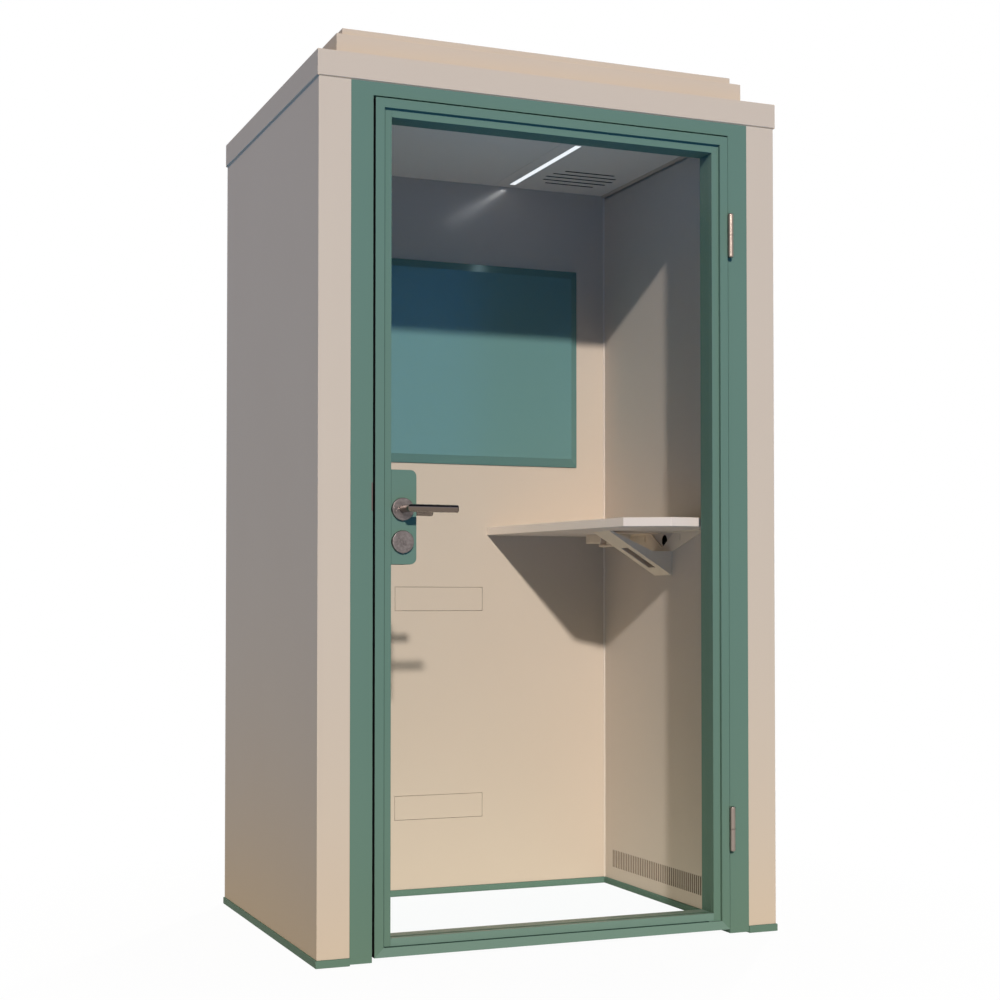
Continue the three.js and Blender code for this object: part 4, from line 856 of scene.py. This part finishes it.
barrel_nickel = brushed_finish(
    "barrel_nickel", tone("8a7e75"), tone("95897f"), 0.32, (700.0, 700.0, 40.0), 0.00001,
)
for place in ("upper", "lower"):
    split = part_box(f"hinge_{place}_door_knuckle")[0].z
    for half, body, way in (("frame", "cabin", -1), ("door", "door", 1)):
        node = f"hinge_{place}_{half}_knuckle"
        low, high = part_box(node)
        radius = (high.x - low.x) / 2
        axis = Vector(((low.x + high.x) / 2, low.y + radius, 0.0))
        tip = high.z if way > 0 else low.z
        seam = split if way > 0 else split - 0.0006
        outline = [(share * radius, tip - way * drop) for share, drop in BARREL_DOME]
        outline += [
            (radius, seam + way * BARREL_SPLIT_EASE), (radius - BARREL_SPLIT_EASE, seam), (0.0, seam),
        ]
        shape = bmesh.new()
        turn_into(shape, [axis + Vector((r, 0.0, z)) for r, z in outline], axis, (0.0, 0.0, 1.0))
        barrel = finish_piece(shape, f"hinge_{place}_{half}_half", barrel_nickel, body)
        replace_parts(barrel, node)
        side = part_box("jamb_right")[0].x - HINGE_PLATE if half == "frame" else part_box("hinge_stile")[1].x
        bottom, top = sorted((tip - way * 0.002, seam))
        plate = bmesh.new()
        extrude_into(
            plate,
            [
                (side, axis.y, bottom), (side + HINGE_PLATE, axis.y, bottom),
                (side + HINGE_PLATE, axis.y, top), (side, axis.y, top),
            ],
            (0.0, high.y - axis.y, 0.0),
        )
        finish_piece(plate, f"hinge_{place}_{half}_plate", satin_steel, body)


# Studio: a pale floor, a low sun from the front left and a soft sky, seen by the camera at eye level.
# Floor and sky show white to the camera, to metal and to glass, with a dark zenith that shades bright bars.
# To the booth they give a cool sky and a warm ground.

FLOOR_REACH = 6.0
FLOOR_WHITE = 0.965
FLOOR_INSIDE = ((0.0, 0.035), (0.5, 0.365))
GROUND_INSIDE = (0.68, 0.68, 0.57, 1.0)
GROUND_NEAR = (0.34, 0.31, 0.26, 1.0)
GROUND_FAR = (0.05, 0.3, 0.68, 1.0)
SKY_LEFT = (
    (0.49, (0.06, 0.2, 0.62, 1.0)), (0.51, (0.02, 0.02, 0.03, 1.0)), (0.6, (0.2, 0.15, 0.06, 1.0)),
    (0.68, (0.6, 0.43, 0.15, 1.0)), (0.8, (0.4, 0.3, 0.12, 1.0)), (0.9, (0.06, 0.06, 0.06, 1.0)),
)
SKY_RIGHT = (
    (0.49, (0.06, 0.2, 0.62, 1.0)), (0.51, (0.1, 0.22, 0.1, 1.0)), (0.62, (0.1, 0.22, 0.1, 1.0)),
    (0.7, (0.04, 0.06, 0.06, 1.0)),
)
SKY_SHOWN = (
    (0.72, (1.0, 1.0, 1.0, 1.0)), (0.78, (1.1, 1.25, 1.7, 1.0)), (0.83, (0.5, 0.6, 0.9, 1.0)),
    (0.87, (0.02, 0.025, 0.07, 1.0)),
)
SUN_TRAVEL = Vector((0.26, 1.0, -0.445))
SUN_COLOUR = (1.0, 0.91, 0.86)
SUN_ENERGY = 3.05
BACK_LAMP_TRAVEL = Vector((-0.6, -0.75, -0.45))
BACK_LAMP_COLOUR = (1.0, 0.94, 0.88)
BACK_LAMP_ENERGY = 2.8


def shown_rays(tree):
    """A mask of the rays from the camera, from metal and through glass, which see the white studio."""
    rays = add_node(tree, "LightPath", {}).outputs
    shown = add_node(
        tree, "Math", {0: rays["Is Camera Ray"], 1: rays["Is Glossy Ray"]}, operation="MAXIMUM",
    ).outputs[0]
    return add_node(
        tree, "Math", {0: shown, 1: rays["Is Transmission Ray"]}, operation="MAXIMUM",
    ).outputs[0]


floor_shape = bmesh.new()
bmesh.ops.create_grid(floor_shape, x_segments=1, y_segments=1, size=FLOOR_REACH)
bmesh.ops.translate(floor_shape, vec=(0.0, 0.0, -0.0005), verts=floor_shape.verts)
floor_data = bpy.data.meshes.new("floor")
floor_shape.to_mesh(floor_data)
floor_shape.free()
floor = bpy.data.objects.new("floor", floor_data)
bpy.context.scene.collection.objects.link(floor)

floor_finish = bpy.data.materials.new("pale_floor")
floor_finish.use_nodes = True
floor_tree = floor_finish.node_tree
floor_tree.nodes.clear()
floor_place = add_node(floor_tree, "TexCoord", {}).outputs["Object"]
floor_away = add_node(floor_tree, "VectorMath", {0: floor_place}, operation="LENGTH").outputs["Value"]
floor_fade = add_node(
    floor_tree, "MapRange", {"Value": floor_away, "From Min": 0.8, "From Max": 2.4},
).outputs[0]
floor_open = between(floor_tree, floor_fade, GROUND_NEAR, GROUND_FAR)
(inside_x, inside_y), (half_x, half_y) = FLOOR_INSIDE
floor_share = add_node(
    floor_tree, "Mapping",
    {
        "Vector": floor_place,
        "Location": (inside_x, -inside_y / half_y, 0.0),
        "Scale": (1 / half_x, 1 / half_y, 0.0),
    },
).outputs["Vector"]
floor_edges = add_node(floor_tree, "VectorMath", {0: floor_share}, operation="ABSOLUTE").outputs["Vector"]
floor_sides = add_node(floor_tree, "SeparateXYZ", {"Vector": floor_edges}).outputs
floor_edge = add_node(
    floor_tree, "Math", {0: floor_sides["X"], 1: floor_sides["Y"]}, operation="MAXIMUM",
).outputs[0]
floor_within = add_node(floor_tree, "Math", {0: floor_edge, 1: 1.0}, operation="LESS_THAN").outputs[0]
floor_light = between(floor_tree, floor_within, floor_open, GROUND_INSIDE)
floor_glow = add_node(floor_tree, "Emission", {"Color": floor_light}).outputs[0]
floor_matt = add_node(floor_tree, "BsdfDiffuse", {"Color": (0.8, 0.8, 0.8, 1.0)}).outputs[0]
floor_white = add_node(floor_tree, "Emission", {"Color": (1.0, 1.0, 1.0, 1.0)}).outputs[0]
floor_clear = add_node(
    floor_tree, "MapRange", {"Value": floor_away, "From Min": 0.7, "From Max": 1.6, "To Min": FLOOR_WHITE},
).outputs[0]
floor_face = add_node(floor_tree, "MixShader", {0: floor_clear, 1: floor_matt, 2: floor_white}).outputs[0]
floor_mix = add_node(floor_tree, "MixShader", {0: shown_rays(floor_tree), 1: floor_glow, 2: floor_face})
add_node(floor_tree, "OutputMaterial", {"Surface": floor_mix.outputs[0]})
floor_data.materials.append(floor_finish)

world = bpy.data.worlds.new("studio_sky")
bpy.context.scene.world = world
world.use_nodes = True
sky_tree = world.node_tree
sky_tree.nodes.clear()
sky_place = add_node(sky_tree, "TexCoord", {}).outputs["Generated"]
sky_way = add_node(sky_tree, "SeparateXYZ", {"Vector": sky_place})
sky_height = add_node(
    sky_tree, "MapRange", {"Value": sky_way.outputs["Z"], "From Min": -1.0, "From Max": 1.0},
).outputs[0]


def sky_bands(stops):
    """The colours of the sky by height, from 0 straight down to 1 straight up."""
    ramp = add_node(sky_tree, "ValToRGB", {"Fac": sky_height})
    while len(ramp.color_ramp.elements) < len(stops):
        ramp.color_ramp.elements.new(0.5)
    for mark, (place, colour) in zip(ramp.color_ramp.elements, stops):
        mark.position = place
        mark.color = colour
    return ramp.outputs["Color"]


sky_side = add_node(
    sky_tree, "MapRange", {"Value": sky_way.outputs["X"], "From Min": -0.1, "From Max": 0.1},
).outputs[0]
sky_colour = between(sky_tree, sky_side, sky_bands(SKY_LEFT), sky_bands(SKY_RIGHT))
sky_light = add_node(sky_tree, "Background", {"Color": sky_colour}).outputs[0]
sky_white = add_node(sky_tree, "Background", {"Color": sky_bands(SKY_SHOWN)}).outputs[0]
sky_mix = add_node(sky_tree, "MixShader", {0: shown_rays(sky_tree), 1: sky_light, 2: sky_white})
add_node(sky_tree, "OutputWorld", {"Surface": sky_mix.outputs[0]})

lamps = (
    ("sun", SUN_TRAVEL, SUN_ENERGY, SUN_COLOUR),
    ("back_lamp", BACK_LAMP_TRAVEL, BACK_LAMP_ENERGY, BACK_LAMP_COLOUR),
)
for name, travel, energy, colour in lamps:
    lamp_data = bpy.data.lights.new(name, "SUN")
    lamp_data.energy = energy
    lamp_data.angle = radians(1.8)
    lamp_data.color = colour
    lamp = bpy.data.objects.new(name, lamp_data)
    lamp.rotation_euler = travel.to_track_quat("-Z", "Y").to_euler()
    bpy.context.scene.collection.objects.link(lamp)

camera_data = bpy.data.cameras.new("camera")
camera_data.sensor_width = 36.0
camera_data.lens = 62.03
camera_data.shift_x = -0.0004
camera_data.shift_y = 0.057
camera = bpy.data.objects.new("camera", camera_data)
camera.location = (-1.6921, -4.20915, 0.8335)
camera.rotation_euler = (pi / 2 + 0.0251, 0.0, -0.3866)
bpy.context.scene.collection.objects.link(camera)
bpy.context.scene.camera = camera
bpy.context.scene.view_settings.view_transform = "Standard"
